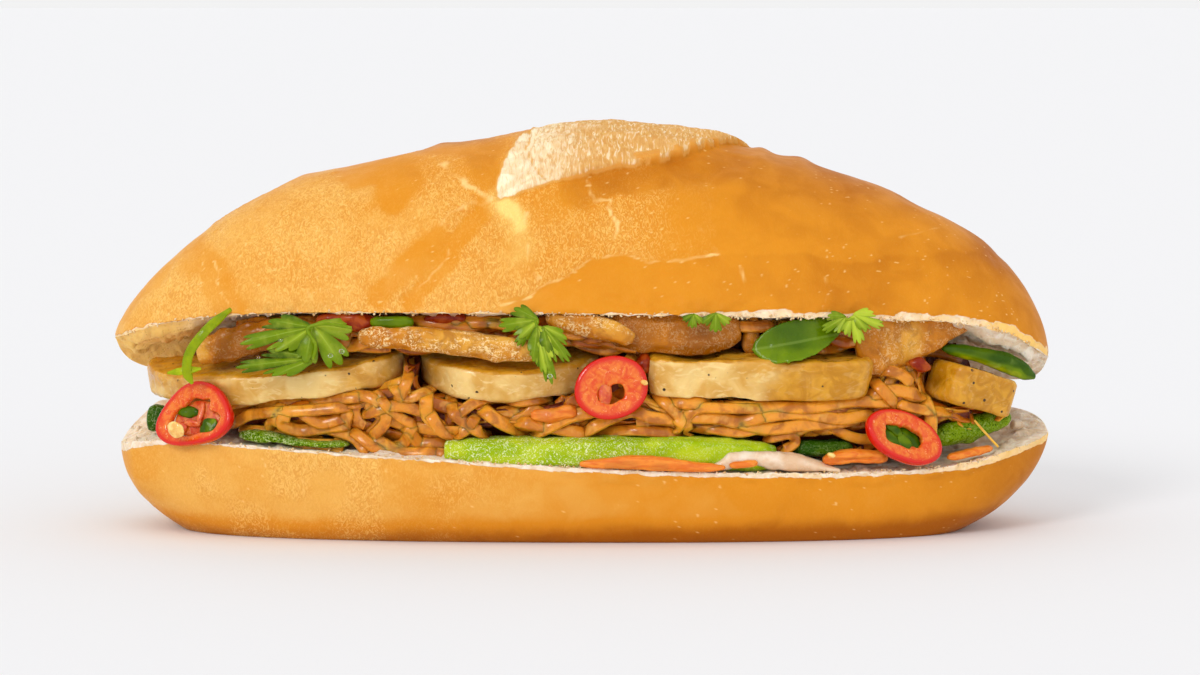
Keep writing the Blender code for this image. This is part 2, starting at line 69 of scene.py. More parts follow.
MM = 0.001
HALF_LENGTH, HALF_WIDTH, PLAN_POWER = 110.0, 40.0, 2.3
UPPER_LIP = (
    (-110, 44.5), (-97, 49.3), (-75, 52.2), (-40, 52.9),
    (20, 52.4), (80, 50.5), (98, 47.2), (110, 40),
)
LOWER_LIP = ((-110, 20), (-95, 22.5), (-50, 20.6), (30, 16.8), (85, 17.1), (110, 22.2))
UPPER_FALL, LOWER_RISE, UPPER_SETBACK = 0.364, 0.158, 2.5
UPPER_HOLLOW, LOWER_HOLLOW = 6.0, 2.5
CREST = (
    (-110, 49), (-72, 51.5), (-45, 50.2), (-22, 51.6), (0, 53.8),
    (20, 54.3), (48, 53.2), (78, 56), (100, 61), (110, 80),
)
UPPER_POWER, LOWER_POWER, LOWER_FULLNESS = 2.35, 3.0, 1.2
SLIT_END, HINGE_FROM, HINGE_TO, GROOVE_DEPTH = 24.0, 66.0, 80.0, 3.0
SCORE_EDGE = ((-22, 76), (-8, 80.5), (8, 84.5), (24, 87.5), (42, 88.5))
SHIFT_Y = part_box("bread")[0].y / MM + HALF_WIDTH


def through(knots, x):
    """Height at x of a smooth curve through the knots."""
    xs, ys = np.array(knots, float).T
    slopes = np.empty_like(ys)
    slopes[1:-1] = (ys[2:] - ys[:-2]) / (xs[2:] - xs[:-2])
    slopes[0], slopes[-1] = (ys[1] - ys[0]) / (xs[1] - xs[0]), (ys[-1] - ys[-2]) / (xs[-1] - xs[-2])
    x = np.clip(x, xs[0], xs[-1])
    i = np.clip(np.searchsorted(xs, x, side="right") - 1, 0, len(xs) - 2)
    d = xs[i + 1] - xs[i]
    t = (x - xs[i]) / d
    start = (2 * t**3 - 3 * t**2 + 1) * ys[i] + (t**3 - 2 * t**2 + t) * d * slopes[i]
    return start + (3 * t**2 - 2 * t**3) * ys[i + 1] + (t**3 - t**2) * d * slopes[i + 1]


def ease(value, low, high):
    """0 below low, 1 above high, and smooth between them."""
    t = np.clip((value - low) / (high - low), 0.0, 1.0)
    return t * t * (3.0 - 2.0 * t)


def grain(points, size, seed=0):
    """Smooth noise from -1 to 1 over points in millimetres, in lumps of that size."""
    q = np.asarray(points, float) / size + 31.7 * (seed + 1)
    cell = np.floor(q).astype(np.int64)
    f = q - cell
    f = f * f * (3.0 - 2.0 * f)
    total = np.zeros(q.shape[:-1])
    for corner in itertools.product((0, 1), repeat=3):
        c = cell + np.array(corner)
        h = (c[..., 0] * 73856093) ^ (c[..., 1] * 19349663) ^ (c[..., 2] * 83492791) ^ (seed * 7919 + 13)
        h = ((h ^ (h >> 13)) * 1274126177) & 0x7FFFFFFF
        value = ((h ^ (h >> 15)) & 0xFFFF) / 32767.5 - 1.0
        weight = np.prod(np.where(np.array(corner) == 1, f, 1.0 - f), axis=-1)
        total += value * weight
    return total


def half_width(x):
    s = np.minimum(1.0, np.abs(x) / HALF_LENGTH)
    return HALF_WIDTH * np.maximum(0.0, 1.0 - s**PLAN_POWER) ** (1.0 / PLAN_POWER)


def upper_front(x):
    w = half_width(x)
    return -w + UPPER_SETBACK * w / HALF_WIDTH, through(UPPER_LIP, x)


def lower_front(x):
    return -half_width(x), through(LOWER_LIP, x)


def upper_plane(x, y):
    front, lip = upper_front(x)
    return lip - UPPER_FALL * (y - front)


def lower_plane(x, y):
    front, lip = lower_front(x)
    return lip + LOWER_RISE * (y - front)


def rear_rims(x):
    w = half_width(x)
    high, low = upper_plane(x, w), lower_plane(x, w)
    middle, gap = 0.5 * (high + low), np.maximum(high - low, 1.5 * w / HALF_WIDTH)
    return (w, middle + 0.5 * gap), (w, middle - 0.5 * gap)


def slit_end(x):
    """How far back the cut goes: to the hinge in the middle, and right through near the tips."""
    w = half_width(x)
    return w - (w - SLIT_END) * (1.0 - ease(np.abs(x), HINGE_FROM, HINGE_TO)) * 0.995 - 0.005 * w


def hollow(x, y, front):
    t = np.clip((y - front) / np.maximum(slit_end(x) - front, 1e-6), 0.0, 1.0)
    return np.sin(np.pi * t) ** 1.3 * (half_width(x) / HALF_WIDTH) ** 1.5


def roof(x, y):
    return upper_plane(x, y) + UPPER_HOLLOW * hollow(x, y, upper_front(x)[0])


def bed(x, y):
    return lower_plane(x, y) - LOWER_HOLLOW * hollow(x, y, lower_front(x)[0])


def arc_point(front, rear, height, power, angle):
    """A point (y, z) of a superellipse arc that stands on the line from front to rear."""
    a = -np.sign(np.cos(angle)) * np.abs(np.cos(angle)) ** (2.0 / power)
    h = np.abs(np.sin(angle)) ** (2.0 / power)
    dy, dz = 0.5 * (rear[0] - front[0]), 0.5 * (rear[1] - front[1])
    half = np.maximum(np.hypot(dy, dz), 1e-6)
    y = 0.5 * (front[0] + rear[0]) + a * dy - h * height * dz / half
    return y, 0.5 * (front[1] + rear[1]) + a * dz + h * height * dy / half


def upper_crust(x, angle):
    """Angle 0 is the front lip, and pi the rear rim."""
    s = np.minimum(1.0, np.abs(x) / HALF_LENGTH)
    crest = through(CREST, x) * (1.0 - s * s) ** 0.6
    return arc_point(upper_front(x), rear_rims(x)[0], crest, UPPER_POWER, angle)


def lower_crust(x, angle):
    s = np.minimum(1.0, np.abs(x) / HALF_LENGTH)
    power = np.where(x > 0, 5.5, 8.0)
    middle = 0.5 * (lower_front(x)[1] + rear_rims(x)[1][1])
    depth = middle * LOWER_FULLNESS * (1.0 - s**power) ** 0.65
    y, z = arc_point(lower_front(x), rear_rims(x)[1], -depth, LOWER_POWER, angle)
    return y, np.maximum(z, 0.0)


def angle_at_height(x, wanted):
    low, high = 0.2, 1.45
    for _ in range(24):
        middle = 0.5 * (low + high)
        low, high = (middle, high) if upper_crust(x, middle)[1] < wanted else (low, middle)
    return low


SCORE_ANGLES = [(x, angle_at_height(float(x), z)) for x, z in SCORE_EDGE]


def even_angles(crust, steps):
    """Angles along a crust at mid length whose points stand steps apart: (share of the arc, spacing) pairs."""
    fine = np.linspace(0.0, np.pi, 4000)
    y, z = crust(np.zeros_like(fine), fine)
    length = np.concatenate([[0.0], np.cumsum(np.hypot(np.diff(y), np.diff(z)))])
    at, total = [0.0], length[-1]
    while at[-1] < total:
        share = at[-1] / total
        at.append(at[-1] + next(step for limit, step in steps if share <= limit))
    at = np.array(at) * total / at[-1]
    return np.interp(at, length, fine)


def nearness(x, z, line, reach):
    """1 on a broken line of (x, z) points on the front of the crust, falling to 0 at that reach."""
    best = np.full(np.broadcast(x, z).shape, 1e9)
    for (xa, za), (xb, zb) in zip(line, line[1:]):
        dx, dz = xb - xa, zb - za
        t = np.clip(((x - xa) * dx + (z - za) * dz) / (dx * dx + dz * dz), 0.0, 1.0)
        best = np.minimum(best, np.hypot(x - xa - t * dx, z - za - t * dz))
    return 1.0 - ease(best, 0.0, reach)


def outward(points, closed):
    """Unit normals of a grid of points, pointing away from each row's middle."""
    along = np.gradient(points, axis=0)
    if closed:
        across = 0.5 * (np.roll(points, -1, axis=1) - np.roll(points, 1, axis=1))
    else:
        across = np.gradient(points, axis=1)
    normal = np.cross(along, across)
    normal /= np.maximum(np.linalg.norm(normal, axis=-1, keepdims=True), 1e-9)
    away = points - points.mean(axis=1, keepdims=True)
    turned = np.sign((normal * away).sum(axis=(1, 2), keepdims=True).mean())
    return normal * turned


def rows_solid(name, points, tips, marks):
    """A closed smooth mesh in metres through rows of points in millimetres, with marks painted on it."""
    rows, count = points.shape[:2]
    verts = np.concatenate([points.reshape(-1, 3), np.array(tips, float)])
    verts = (verts + (0.0, SHIFT_Y, 0.0)) * MM
    i, j = np.meshgrid(np.arange(rows - 1), np.arange(count), indexing="ij")
    k = (j + 1) % count
    quads = np.stack([i * count + j, i * count + k, (i + 1) * count + k, (i + 1) * count + j], -1)
    ring = np.arange(count)
    last, tip = (rows - 1) * count, rows * count
    start = np.stack([(ring + 1) % count, ring, np.full(count, tip)], -1)
    end = np.stack([last + ring, last + (ring + 1) % count, np.full(count, tip + 1)], -1)
    mesh = bpy.data.meshes.new(name)
    mesh.from_pydata(verts.tolist(), [], quads.reshape(-1, 4).tolist() + start.tolist() + end.tolist())
    for mark, values in marks.items():
        whole = np.concatenate([values.reshape(-1), [values[0].mean(), values[-1].mean()]])
        layer = mesh.attributes.new(mark, "FLOAT", "POINT")
        layer.data.foreach_set("value", whole.astype(np.float32))
    bm = bmesh.new()
    bm.from_mesh(mesh)
    bmesh.ops.recalc_face_normals(bm, faces=bm.faces)
    bm.to_mesh(mesh)
    bm.free()
    mesh.shade_smooth()
    obj = bpy.data.objects.new(name, mesh)
    bpy.context.scene.collection.objects.link(obj)
    return obj


def stations(count):
    u = np.linspace(-1.0, 1.0, count + 2)[1:-1]
    return np.sign(u) * HALF_LENGTH * (1.0 - (1.0 - np.abs(u)) ** 1.35)


# The upper half: the crust from the front lip over the crest to the rear rim, then the
# torn web at the hinge, then the soft roof of the opening back to the lip.
UPPER_ROWS, ROOF_POINTS, WEB_POINTS = 372, 36, 6
SCORE_RISE, SCORE_FAR, SCORE_DEPTH = 1.9, 1.86, 1.3
SCORE_LEFT = ((-19.2, 76.6), (-20.2, 80.1), (-19.2, 84.1), (-17.6, 88.0), (-14.6, 91.6), (-9.0, 94.6), (-2, 97.5))
INNER_TEAR = ((-12.2, 92.5), (-12.6, 88.9), (-11.0, 84.8), (-8.2, 82.0))
PALE_CREASES = (
    (((-13.0, 74.5), (-12.6, 71.8), (-11.6, 65.9), (-10.0, 58.9)), 0.75, 0.9),
    (((-18.4, 54.4), (-10.0, 58.9), (-4.8, 61.4), (3.2, 64.7), (8.8, 65.4), (17.8, 65.3), (29.8, 65.1)), 0.7, 0.8),
    (((-32.8, 85.9), (-29.2, 82.9), (-25.6, 80.3), (-20.4, 77.5)), 1.3, 0.75),
    (((-20.4, 77.5), (-25.4, 77.0), (-29.6, 75.6), (-32.5, 72)), 1.2, 0.6),
    (((-30.4, 66.8), (-34.4, 61.3), (-38.2, 55.2)), 0.9, 0.45),
    (((1.4, 81.7), (3.8, 78.6), (7.2, 77.4), (7.6, 72.5), (7.4, 69.0)), 0.85, 0.85),
    (((24.8, 74.6), (28.2, 70.2), (30.4, 65.1)), 1.1, 0.35),
    (((-84.4, 63.4), (-83.0, 59.5), (-81.8, 57.3), (-79.8, 54.4)), 0.9, 0.7),
    (((-63.5, 55.2), (-63.0, 58.2), (-62.0, 60.2)), 0.8, 0.4),
    (((56.0, 53.5), (57.0, 57.5), (56.2, 60.5)), 1.0, 0.45),
    (((73.4, 69.2), (77.8, 70.6), (82.4, 72.1)), 0.8, 0.5),
    (((82.4, 72.1), (79.2, 67.3), (76.4, 61.9)), 0.7, 0.3), (((36.0, 61.4), (37.6, 59.0)), 1.0, 0.7),
)
SOFT_VALLEYS = (
    (((-22.8, 76.9), (-26.6, 73.6), (-31.0, 66.8), (-35.4, 60.3), (-39.6, 55.0)), 4.5, 0.75),
    (((-18.4, 54.4), (-10.0, 58.0), (-4.8, 60.4), (3.2, 63.7), (8.8, 64.4), (29.8, 64.1)), 3.2, 0.45),
    (((0.0, 79.5), (12.0, 83.0), (24.0, 84.2), (36.0, 86.0)), 5.5, 0.5),
    (((84.0, 84.0), (92.0, 74.0), (98.0, 64.0)), 5.0, 0.4),
)
CREST_BUMPS = ((-33.0, 0.9, 3.2), (-66.0, 0.6, 3.5), (-84.0, 0.5, 4.0), (42.5, 0.9, 2.2), (51.5, 1.0, 3.0), (80.5, -1.1, 5.0), (94.0, 0.8, 4.0))

x = stations(UPPER_ROWS)[:, None]
angles = even_angles(upper_crust, ((0.012, 0.3), (0.53, 0.5), (1.0, 2.0)))[None, :]
y, z = upper_crust(x, angles)
crust = np.stack([np.broadcast_to(x, y.shape), y, z], -1)
facing = outward(crust, closed=False)
X, Z = crust[..., 0], crust[..., 2]
front = 1.0 - ease(angles, 1.5, 1.9) + 0.0 * X
tipward = ease(half_width(X), 3.0, 16.0)

# The score: a leaf-shaped tear in the crust, bounded by a ledge below and a curved rim at its left.
edge = through(SCORE_ANGLES, x) + 0.012 * grain(crust * (1, 0, 0), 3.1, 5) + 0.010 * grain(crust * (1, 0, 0), 1.1, 6)
ledge = ease(angles - edge, 0.0, 0.022)
left_rim = np.interp(Z, [p[1] for p in SCORE_LEFT], [p[0] for p in SCORE_LEFT])
over = np.maximum(0.0, angles - 1.55)
left_rim = left_rim + over * 16.0 + over**2 * 180.0 + 0.35 * grain(crust, 1.6, 8)
inside_left = ease(X - left_rim, 0.0, 1.3)
taper = ease(43.5 - X, 0.0, 22.0) ** 0.6
far_edge = SCORE_FAR - 0.5 * (1.0 - taper) - 0.12 * np.clip(np.abs(X - 13.0) / 12.0, 0.0, 1.0) ** 2 + 0.03 * grain(crust, 3.5, 9)
far_side = 1.0 - ease(angles, far_edge, far_edge + 0.06)
inside_right = ease(43.5 - X, 0.0, 3.0)
torn = ledge * inside_left * inside_right * far_side
flake = ease(grain(crust, 1.7, 19), -0.05, 0.25) * (1.0 - ease(angles - edge, 0.05, 0.14)) * ease(X, 6.0, 12.0)
ragged_tear = np.maximum(0.75 * flake, 0.5 * nearness(X + 0.5 * grain(crust, 1.5, 10), Z, INNER_TEAR, 0.9))
rise = SCORE_RISE * np.sqrt(np.clip(ease(X, -22, -4) * ease(43.5 - X, 0, 16), 0.0, 1.0))
fibres = grain(crust * (1.0, 0.3, 0.3), 0.9, 11) * 0.10 + grain(crust, 2.4, 12) * 0.30 + grain(crust, 6.0, 13) * 0.5
lift = torn * (rise * (1.0 - 0.55 * ease(angles - edge, 0.0, 0.7)) + fibres)
lift -= 0.7 * nearness(X, Z, INNER_TEAR, 1.0) * torn * front
lift += 0.8 * inside_left * (1.0 - inside_left) * 4.0 * ledge * far_side * ease(30.0 - X, 0.0, 4.0) * 0.5

# Dents, soft valleys, pale creases and blisters in the crust.
plain = (1.0 - torn) * tipward
bent_x = X + 2.0 * grain(crust, 8.0, 22) + 0.7 * grain(crust, 2.5, 24)
bent_z = Z + 1.6 * grain(crust, 7.0, 23) + 0.6 * grain(crust, 2.2, 25)
lift += plain * (0.55 * grain(crust, 21.0, 1) + 0.28 * grain(crust, 9.0, 2))
for line, reach, depth in SOFT_VALLEYS:
    lift -= depth * nearness(bent_x, bent_z, line, reach) ** 1.5 * front * (1.0 - torn)
crease = np.zeros_like(X)
for line, reach, strength in PALE_CREASES:
    ragged = 0.65 + 0.7 * grain(crust, 2.2, 21)
    crease = np.maximum(crease, strength * np.clip(ragged * nearness(bent_x, bent_z, line, reach), 0.0, 1.0) * front)
crease *= 1.0 - torn
lift += 0.15 * crease
crackled_above = through(((-24.0, 40.0), (-18.4, 54.4), (-10.0, 58.9), (-4.8, 61.4), (3.2, 64.7), (8.8, 65.4), (29.8, 65.1)), X)
crackle = ease(bent_z - crackled_above, -0.3, 0.5) * (1.0 - ease(bent_x, 28.6, 30.4)) * (1.0 - 0.75 * ease(bent_x, 8.0, 24.0))
crackle = crackle * front + (1.0 - front) * (1.0 - ease(bent_x, -25.0, 25.0))
smooth = np.maximum.reduce([ease(nearness(bent_x, bent_z, line, reach) + 0.12 * grain(crust, 2.2, 27), 0.08, 0.62) for line, reach in (
    (((-53, 84), (-40, 83.5), (-45, 78)), 6.5), (((-46, 57), (-38, 64), (-33, 69)), 5.5), (((-93, 67), (-84, 60), (-80, 53)), 7.5),
    (((-36, 92), (-24, 91), (-22, 84)), 7.0), (((-3, 80), (10, 82), (26, 86)), 6.0), (((-108, 52), (-100, 60), (-94, 68)), 5.0),
    (((-22.8, 76.0), (-28.0, 68.0), (-34.0, 60.3), (-38.0, 55.0)), 4.2),
)])
smooth = smooth * front
crackle *= (1.0 - 0.7 * smooth) * (1.0 - 0.45 * ease(grain(crust, 10.0, 4), -0.1, 0.5))
blisters = ease(grain(crust, 1.15, 14) * 0.7 + grain(crust, 0.7, 15) * 0.3, 0.18, 0.6)
lift += plain * (0.12 * crackle * blisters + 0.035 * grain(crust, 1.6, 16) - 0.15 * smooth * (1.0 - ease(X, 0.0, 40.0)))
specks = ease(grain(crust, 0.62, 17), 0.64, 0.8) * ease(grain(crust, 11.0, 18), -0.5, 0.2)
for at, height, width in CREST_BUMPS:
    lift += height * np.exp(-(((X - at) / width) ** 2)) * np.exp(-(((angles - 1.45) / 0.35) ** 2)) * (1.0 - torn)
lift *= ease(angles, 0.0, 0.05) * ease(np.pi - angles, 0.0, 0.1) * ease(half_width(X), 0.5, 8.0)
crust = crust + facing * lift[..., None]

# The front lip: a ragged line, and above it a band where the pale crumb shows at the cut.
bite = (0.35 * grain(crust, 2.4, 31) + 0.2 * grain(crust, 0.9, 32)) * (0.45 + 0.55 * ease(X, -10.0, 30.0))
lip_fade = 1.0 - ease(angles, 0.0, 0.10)
crust[..., 2] += bite * lip_fade
crust[..., 1] += 0.5 * lip_fade * grain(crust, 1.8, 33)
band = 0.25 + 1.0 * ease(X, 18.0, 40.0) + 0.5 * ease(X, 88, 100) + 0.5 * ease(-X, 90, 104) - 0.3 * ease(-X, -10.0, 20.0)
height = crust[..., 2] - through(UPPER_LIP, x)
band = band + 0.6 * grain(crust, 1.9, 34) + 0.25 * grain(crust, 0.8, 35)
crumb = (1.0 - ease(height - band, -0.15, 0.35)) * (1.0 - ease(angles, 0.2, 0.6))
crust += facing * (crumb * (-0.35 + 0.25 * grain(crust, 0.9, 36)))[..., None]
# The colour mark computed here holds the crust's bake, deeper towards the right, and painted shade: darker at the
# crest, in the soft valley under the score and on the facet at the right end.
bake_and_shade = 0.16 + 0.46 * ease(X, -55.0, 60.0) + 0.12 * ease(X, 70.0, 112.0) + 0.10 * grain(crust, 24.0, 41)
bake_and_shade = bake_and_shade + 0.10 * (1.0 - ease(bent_z - crackled_above, -0.5, 0.5)) * ease(X, -14.0, -8.0) + 0.26 * ease(Z, 66.0, 92.0) * (1.0 - 0.4 * front) + 0.17 * smooth * (1.0 - ease(X, 0.0, 40.0)) + 0.06 * grain(crust, 7.0, 42)
bake_and_shade = bake_and_shade + 0.10 * nearness(X, Z, SOFT_VALLEYS[2][0], 6.5) * front + 0.12 * (1.0 - front)
bake_and_shade = bake_and_shade + 0.18 * nearness(bent_x, bent_z, SOFT_VALLEYS[3][0], 7.0) * front
bake_and_shade = (bake_and_shade + 0.14 * ease(Z, 68.0, 84.0) * ease(X, 20.0, 60.0)) * (1.0 - crumb * ease(X, -20.0, 20.0))
bake_and_shade = bake_and_shade + 0.36 * ease(angles, 1.0, 1.5) * (1.0 - ease(X, -20.0, 10.0)) * front - 0.14 * ease(X, 55.0, 75.0) * (1.0 - ease(Z, 57.0, 66.0))
bake_and_shade = bake_and_shade * (1.0 - crumb) + (0.64 + 0.3 * ease(X, 88.0, 98.0)) * crumb * ease(X, -30.0, 20.0) + 0.75 * crumb * (1.0 - ease(X, -30.0, 20.0))
bake_and_shade = bake_and_shade * (1.0 - torn) + torn * (0.08 + 0.56 * ease(X, -24.0, 10.0))
# A painted highlight: a bright pale yellow spot on the crust just below the left end of the score.
highlight_spot = 0.9 * nearness(X, Z, ((-17.4, 76.6), (-15.4, 75.4)), 3.0) + 0.6 * nearness(X, Z, ((-14.0, 72.9), (-13.7, 72.3)), 2.6)
highlight_spot = highlight_spot + 0.38 * nearness(bent_x, bent_z, ((-19.0, 77.5), (-12.8, 66.0)), 7.0)
painted_highlight = np.clip(highlight_spot, 0.0, 1.0) * front * (1.0 - torn)

# The roof of the opening, soft and full of pores, from the slit's end to the lip.
w, (y_front, _) = half_width(x), upper_front(x)
end = slit_end(x)
share = np.linspace(0.0, 1.0, ROOF_POINTS + 1)[None, :-1]
y = end + (y_front - end) * share
inner = np.stack([np.broadcast_to(x, y.shape), y, roof(x, y)], -1)
soft = grain(inner, 3.2, 51) * 0.55 + grain(inner, 1.5, 52) * 0.3
fade = (ease(share, 0.0, 0.08) * ease(1.0 - share, 0.0, 0.05) * ease(half_width(x), 2.0, 14.0))
behind = (1.0 - share) * (end - y_front)
shelf = 3.2 * ease(x, 84.0, 94.0) * (1.0 - ease(x, 103.0, 109.0)) + 2.5 * ease(-x, 84.0, 92.0) * (1.0 - ease(-x, 103.0, 109.0))
inner[..., 2] -= shelf * ease(behind, 0.0, 4.5) * (1.0 - ease(behind, 12.0, 24.0))
inner[..., 2] += (0.5 + soft - 0.8 * ease(grain(inner, 2.0, 53), 0.35, 0.7)) * fade
back = np.linspace(0.0, 1.0, WEB_POINTS + 2)[None, 1:-1]
depth = np.minimum(GROOVE_DEPTH, 0.5 * (w - end))
y = (w - depth) + (end - w + depth) * back
middle = 0.5 * (upper_plane(x, y) + lower_plane(x, y))
web = np.stack([np.broadcast_to(x, y.shape), y, np.minimum(middle - 0.15, roof(x, y))], -1)
hinged = 1.0 - ease(np.abs(x), HINGE_FROM, HINGE_TO)
web[..., 2] = web[..., 2] * hinged + roof(x, y) * (1.0 - hinged)
zero_web, zero_inner = np.zeros(web.shape[:2]), np.zeros(inner.shape[:2])
upper_marks = {
    "crumb": np.concatenate([crumb, zero_web + 1.0, zero_inner + 1.0], 1),
    "torn": np.concatenate([torn * (1.0 - ragged_tear), zero_web, zero_inner], 1),
    "bake_and_shade": np.concatenate([bake_and_shade, zero_web, zero_inner + ease(-x, 70.0, 96.0)], 1),
    "crease": np.concatenate([np.maximum(crease, 0.6 * specks * plain), zero_web, zero_inner], 1),
    "crackle": np.concatenate([crackle, zero_web, zero_inner], 1),
    "painted_highlight": np.concatenate([painted_highlight, zero_web, zero_inner], 1),
}
points = np.concatenate([crust, web, inner], 1)
tips = [(side * HALF_LENGTH, 0.0, float(through(UPPER_LIP, side * HALF_LENGTH))) for side in (-1.0, 1.0)]
upper_half = rows_solid("roll_upper_half", points, tips, upper_marks)

# The lower half: the bed of the opening, then the crust from the lip round the flat belly.
LOWER_ROWS, BED_POINTS = 330, 44
x = stations(LOWER_ROWS)[:, None]
angles = even_angles(lower_crust, ((0.012, 0.3), (0.30, 0.5), (0.72, 2.6), (1.0, 1.5)))[None, :]
y, z = lower_crust(x, angles)
belly = np.stack([np.broadcast_to(x, y.shape), y, z], -1)
facing = outward(belly, closed=False)
X, Z = belly[..., 0], belly[..., 2]
resting = ease(Z, 0.0, 2.5)
tipward = ease(half_width(X), 3.0, 16.0)
crackle = (1.0 - ease(X + 9.0 * grain(belly, 26.0, 3), -50.0, 10.0)) * (0.3 + 0.5 * ease(grain(belly, 9.0, 4), -0.2, 0.2))
blisters = ease(grain(belly, 1.15, 14) * 0.7 + grain(belly, 0.7, 15) * 0.3, 0.18, 0.6)
lift = 0.5 * grain(belly, 18.0, 61) + 0.22 * grain(belly, 7.0, 62) + 0.09 * crackle * blisters + 0.03 * grain(belly, 1.6, 63)
specks = ease(grain(belly, 0.62, 64), 0.68, 0.85) * ease(grain(belly, 10.0, 65), -0.4, 0.2)
lift = lift * resting * tipward * ease(angles, 0.0, 0.06) * ease(np.pi - angles, 0.0, 0.1)
belly = belly + facing * lift[..., None]
lip_fade = 1.0 - ease(angles, 0.0, 0.08)
belly[..., 2] += lip_fade * (0.35 * grain(belly, 2.6, 71) + 0.2 * grain(belly, 1.0, 72))
belly[..., 1] += 0.35 * lip_fade * grain(belly, 1.5, 73)
drop = through(LOWER_LIP, x) - belly[..., 2]
band = 0.35 + 0.5 * ease(X, -30.0, -5.0) + 1.3 * ease(-X, 88.0, 106.0) + 0.5 * ease(X, 72.0, 96.0) + 0.35 * grain(belly, 2.2, 74) + 0.2 * grain(belly, 0.8, 75)
crumb = (1.0 - ease(drop - band, -0.12, 0.3)) * (1.0 - ease(angles, 0.15, 0.5))
belly += facing * (crumb * (-0.12 + 0.22 * grain(belly, 0.9, 76)))[..., None]
belly[..., 2] = np.maximum(belly[..., 2], 0.0)
# Darker along the bottom band, where the belly turns under: painted shade. The rest of this colour mark is the bake,
# deeper towards the right.
bake_and_shade = 0.10 + 0.42 * ease(X, -70.0, 60.0) + 0.25 * ease(X, 60.0, 110.0) + 0.10 * grain(belly, 22.0, 77)
bake_and_shade = bake_and_shade + 0.75 * (1.0 - ease(Z, 0.3, 7.5)) + 0.18 * ease(-X, 88, 108) + 0.05 * grain(belly, 6.0, 78)
y_front, _ = lower_front(x)
end, w = slit_end(x), half_width(x)
share = np.linspace(0.0, 1.0, BED_POINTS + 1)[None, :-1]
y = end + (y_front - end) * share
inner = np.stack([np.broadcast_to(x, y.shape), y, bed(x, y)], -1)
soft = grain(inner, 3.2, 81) * 0.5 + grain(inner, 1.5, 82) * 0.28
fade = (ease(share, 0.0, 0.08) * ease(1.0 - share, 0.0, 0.05) * ease(half_width(x), 2.0, 14.0))
inner[..., 2] -= (0.45 + soft - 0.7 * ease(grain(inner, 2.0, 83), 0.35, 0.7)) * fade
depth = np.minimum(GROOVE_DEPTH, 0.5 * (w - end))
y = (w - depth) + (end - w + depth) * back
middle = 0.5 * (upper_plane(x, y) + lower_plane(x, y))
web = np.stack([np.broadcast_to(x, y.shape), y, np.maximum(middle + 0.15, bed(x, y))], -1)
hinged = 1.0 - ease(np.abs(x), HINGE_FROM, HINGE_TO)
web[..., 2] = web[..., 2] * hinged + bed(x, y) * (1.0 - hinged)
zero_web, zero_inner = np.zeros(web.shape[:2]), np.zeros(inner.shape[:2])
nothing = np.zeros_like(bake_and_shade)
lower_marks = {
    "crumb": np.concatenate([crumb, zero_web + 1.0, zero_inner + 1.0], 1),
    "torn": np.concatenate([nothing, zero_web, zero_inner], 1),
    "bake_and_shade": np.concatenate([bake_and_shade, zero_web, zero_inner + 0.5 * ease(-x, 70.0, 96.0)], 1),
    "crease": np.concatenate([0.6 * specks, zero_web, zero_inner], 1),
    "crackle": np.concatenate([crackle, zero_web, zero_inner], 1),
    "painted_highlight": np.concatenate([nothing, zero_web, zero_inner], 1),
}
points = np.concatenate([belly, web, inner], 1)
# Its left end is blunt and sits lower at the back than the rest.
blunt, high = 1.0 - ease(points[..., 0], -98.0, -84.0), np.maximum(points[..., 2] - 27.4, 0.0)
points[..., 2] -= 0.8 * blunt * high
points[..., 0] += 0.42 * np.maximum(-103.0 - points[..., 0], 0.0)
points[..., 0] -= 1.6 * (1.0 - ease(points[..., 0], -106.0, -96.0)) * ease(points[..., 2], 4.0, 14.0) * (1.0 - ease(points[..., 2], 19.0, 26.0))
tips = [(side * HALF_LENGTH + (2.9 if side < 0 else 0.0), 0.0, float(through(LOWER_LIP, side * HALF_LENGTH))) for side in (-1.0, 1.0)]
lower_half = rows_solid("roll_lower_half", points, tips, lower_marks)


def put(tree, kind, values=None, **settings):
    """Adds a node to a tree. values gives its inputs, each a socket to link or a plain value."""
    made = tree.nodes.new(kind)
    for name, value in settings.items():
        setattr(made, name, value)
    for key, value in (values or {}).items():
        if isinstance(value, bpy.types.NodeSocket):
            tree.links.new(value, made.inputs[key])
        else:
            made.inputs[key].default_value = value
    return made


def painted(tree, mark):
    """The value of a mark painted on the mesh."""
    return put(tree, "ShaderNodeAttribute", attribute_name=mark).outputs["Fac"]


def stretched(tree, stretch):
    """Object coordinates in millimetres, squeezed along an axis by its stretch."""
    place = put(tree, "ShaderNodeTexCoord").outputs["Object"]
    scale = tuple(1000.0 / s for s in stretch)
    return put(tree, "ShaderNodeMapping", {"Vector": place, "Scale": scale}).outputs["Vector"]


def cloudy(tree, size, detail=2.0, distortion=0.0, stretch=(1.0, 1.0, 1.0), rough=0.5):
    """Noise in lumps of that many millimetres."""
    values = {"Vector": stretched(tree, stretch), "Scale": 1.0 / size, "Detail": detail,
              "Roughness": rough, "Distortion": distortion}
    return put(tree, "ShaderNodeTexNoise", values).outputs["Fac"]


def spots(tree, size, stretch=(1.0, 1.0, 1.0)):
    """Distance from scattered points that stand that many millimetres apart."""
    values = {"Vector": stretched(tree, stretch), "Scale": 1.0 / size}
    return put(tree, "ShaderNodeTexVoronoi", values).outputs["Distance"]


def between(tree, value, low, high, to_low=0.0, to_high=1.0):
    """Maps low..high to another range, and stops at its ends."""
    values = {0: value, 1: low, 2: high, 3: to_low, 4: to_high}
    return put(tree, "ShaderNodeMapRange", values, interpolation_type="SMOOTHSTEP").outputs[0]


def sums(tree, operation, a, b):
    return put(tree, "ShaderNodeMath", {0: a, 1: b}, operation=operation).outputs[0]


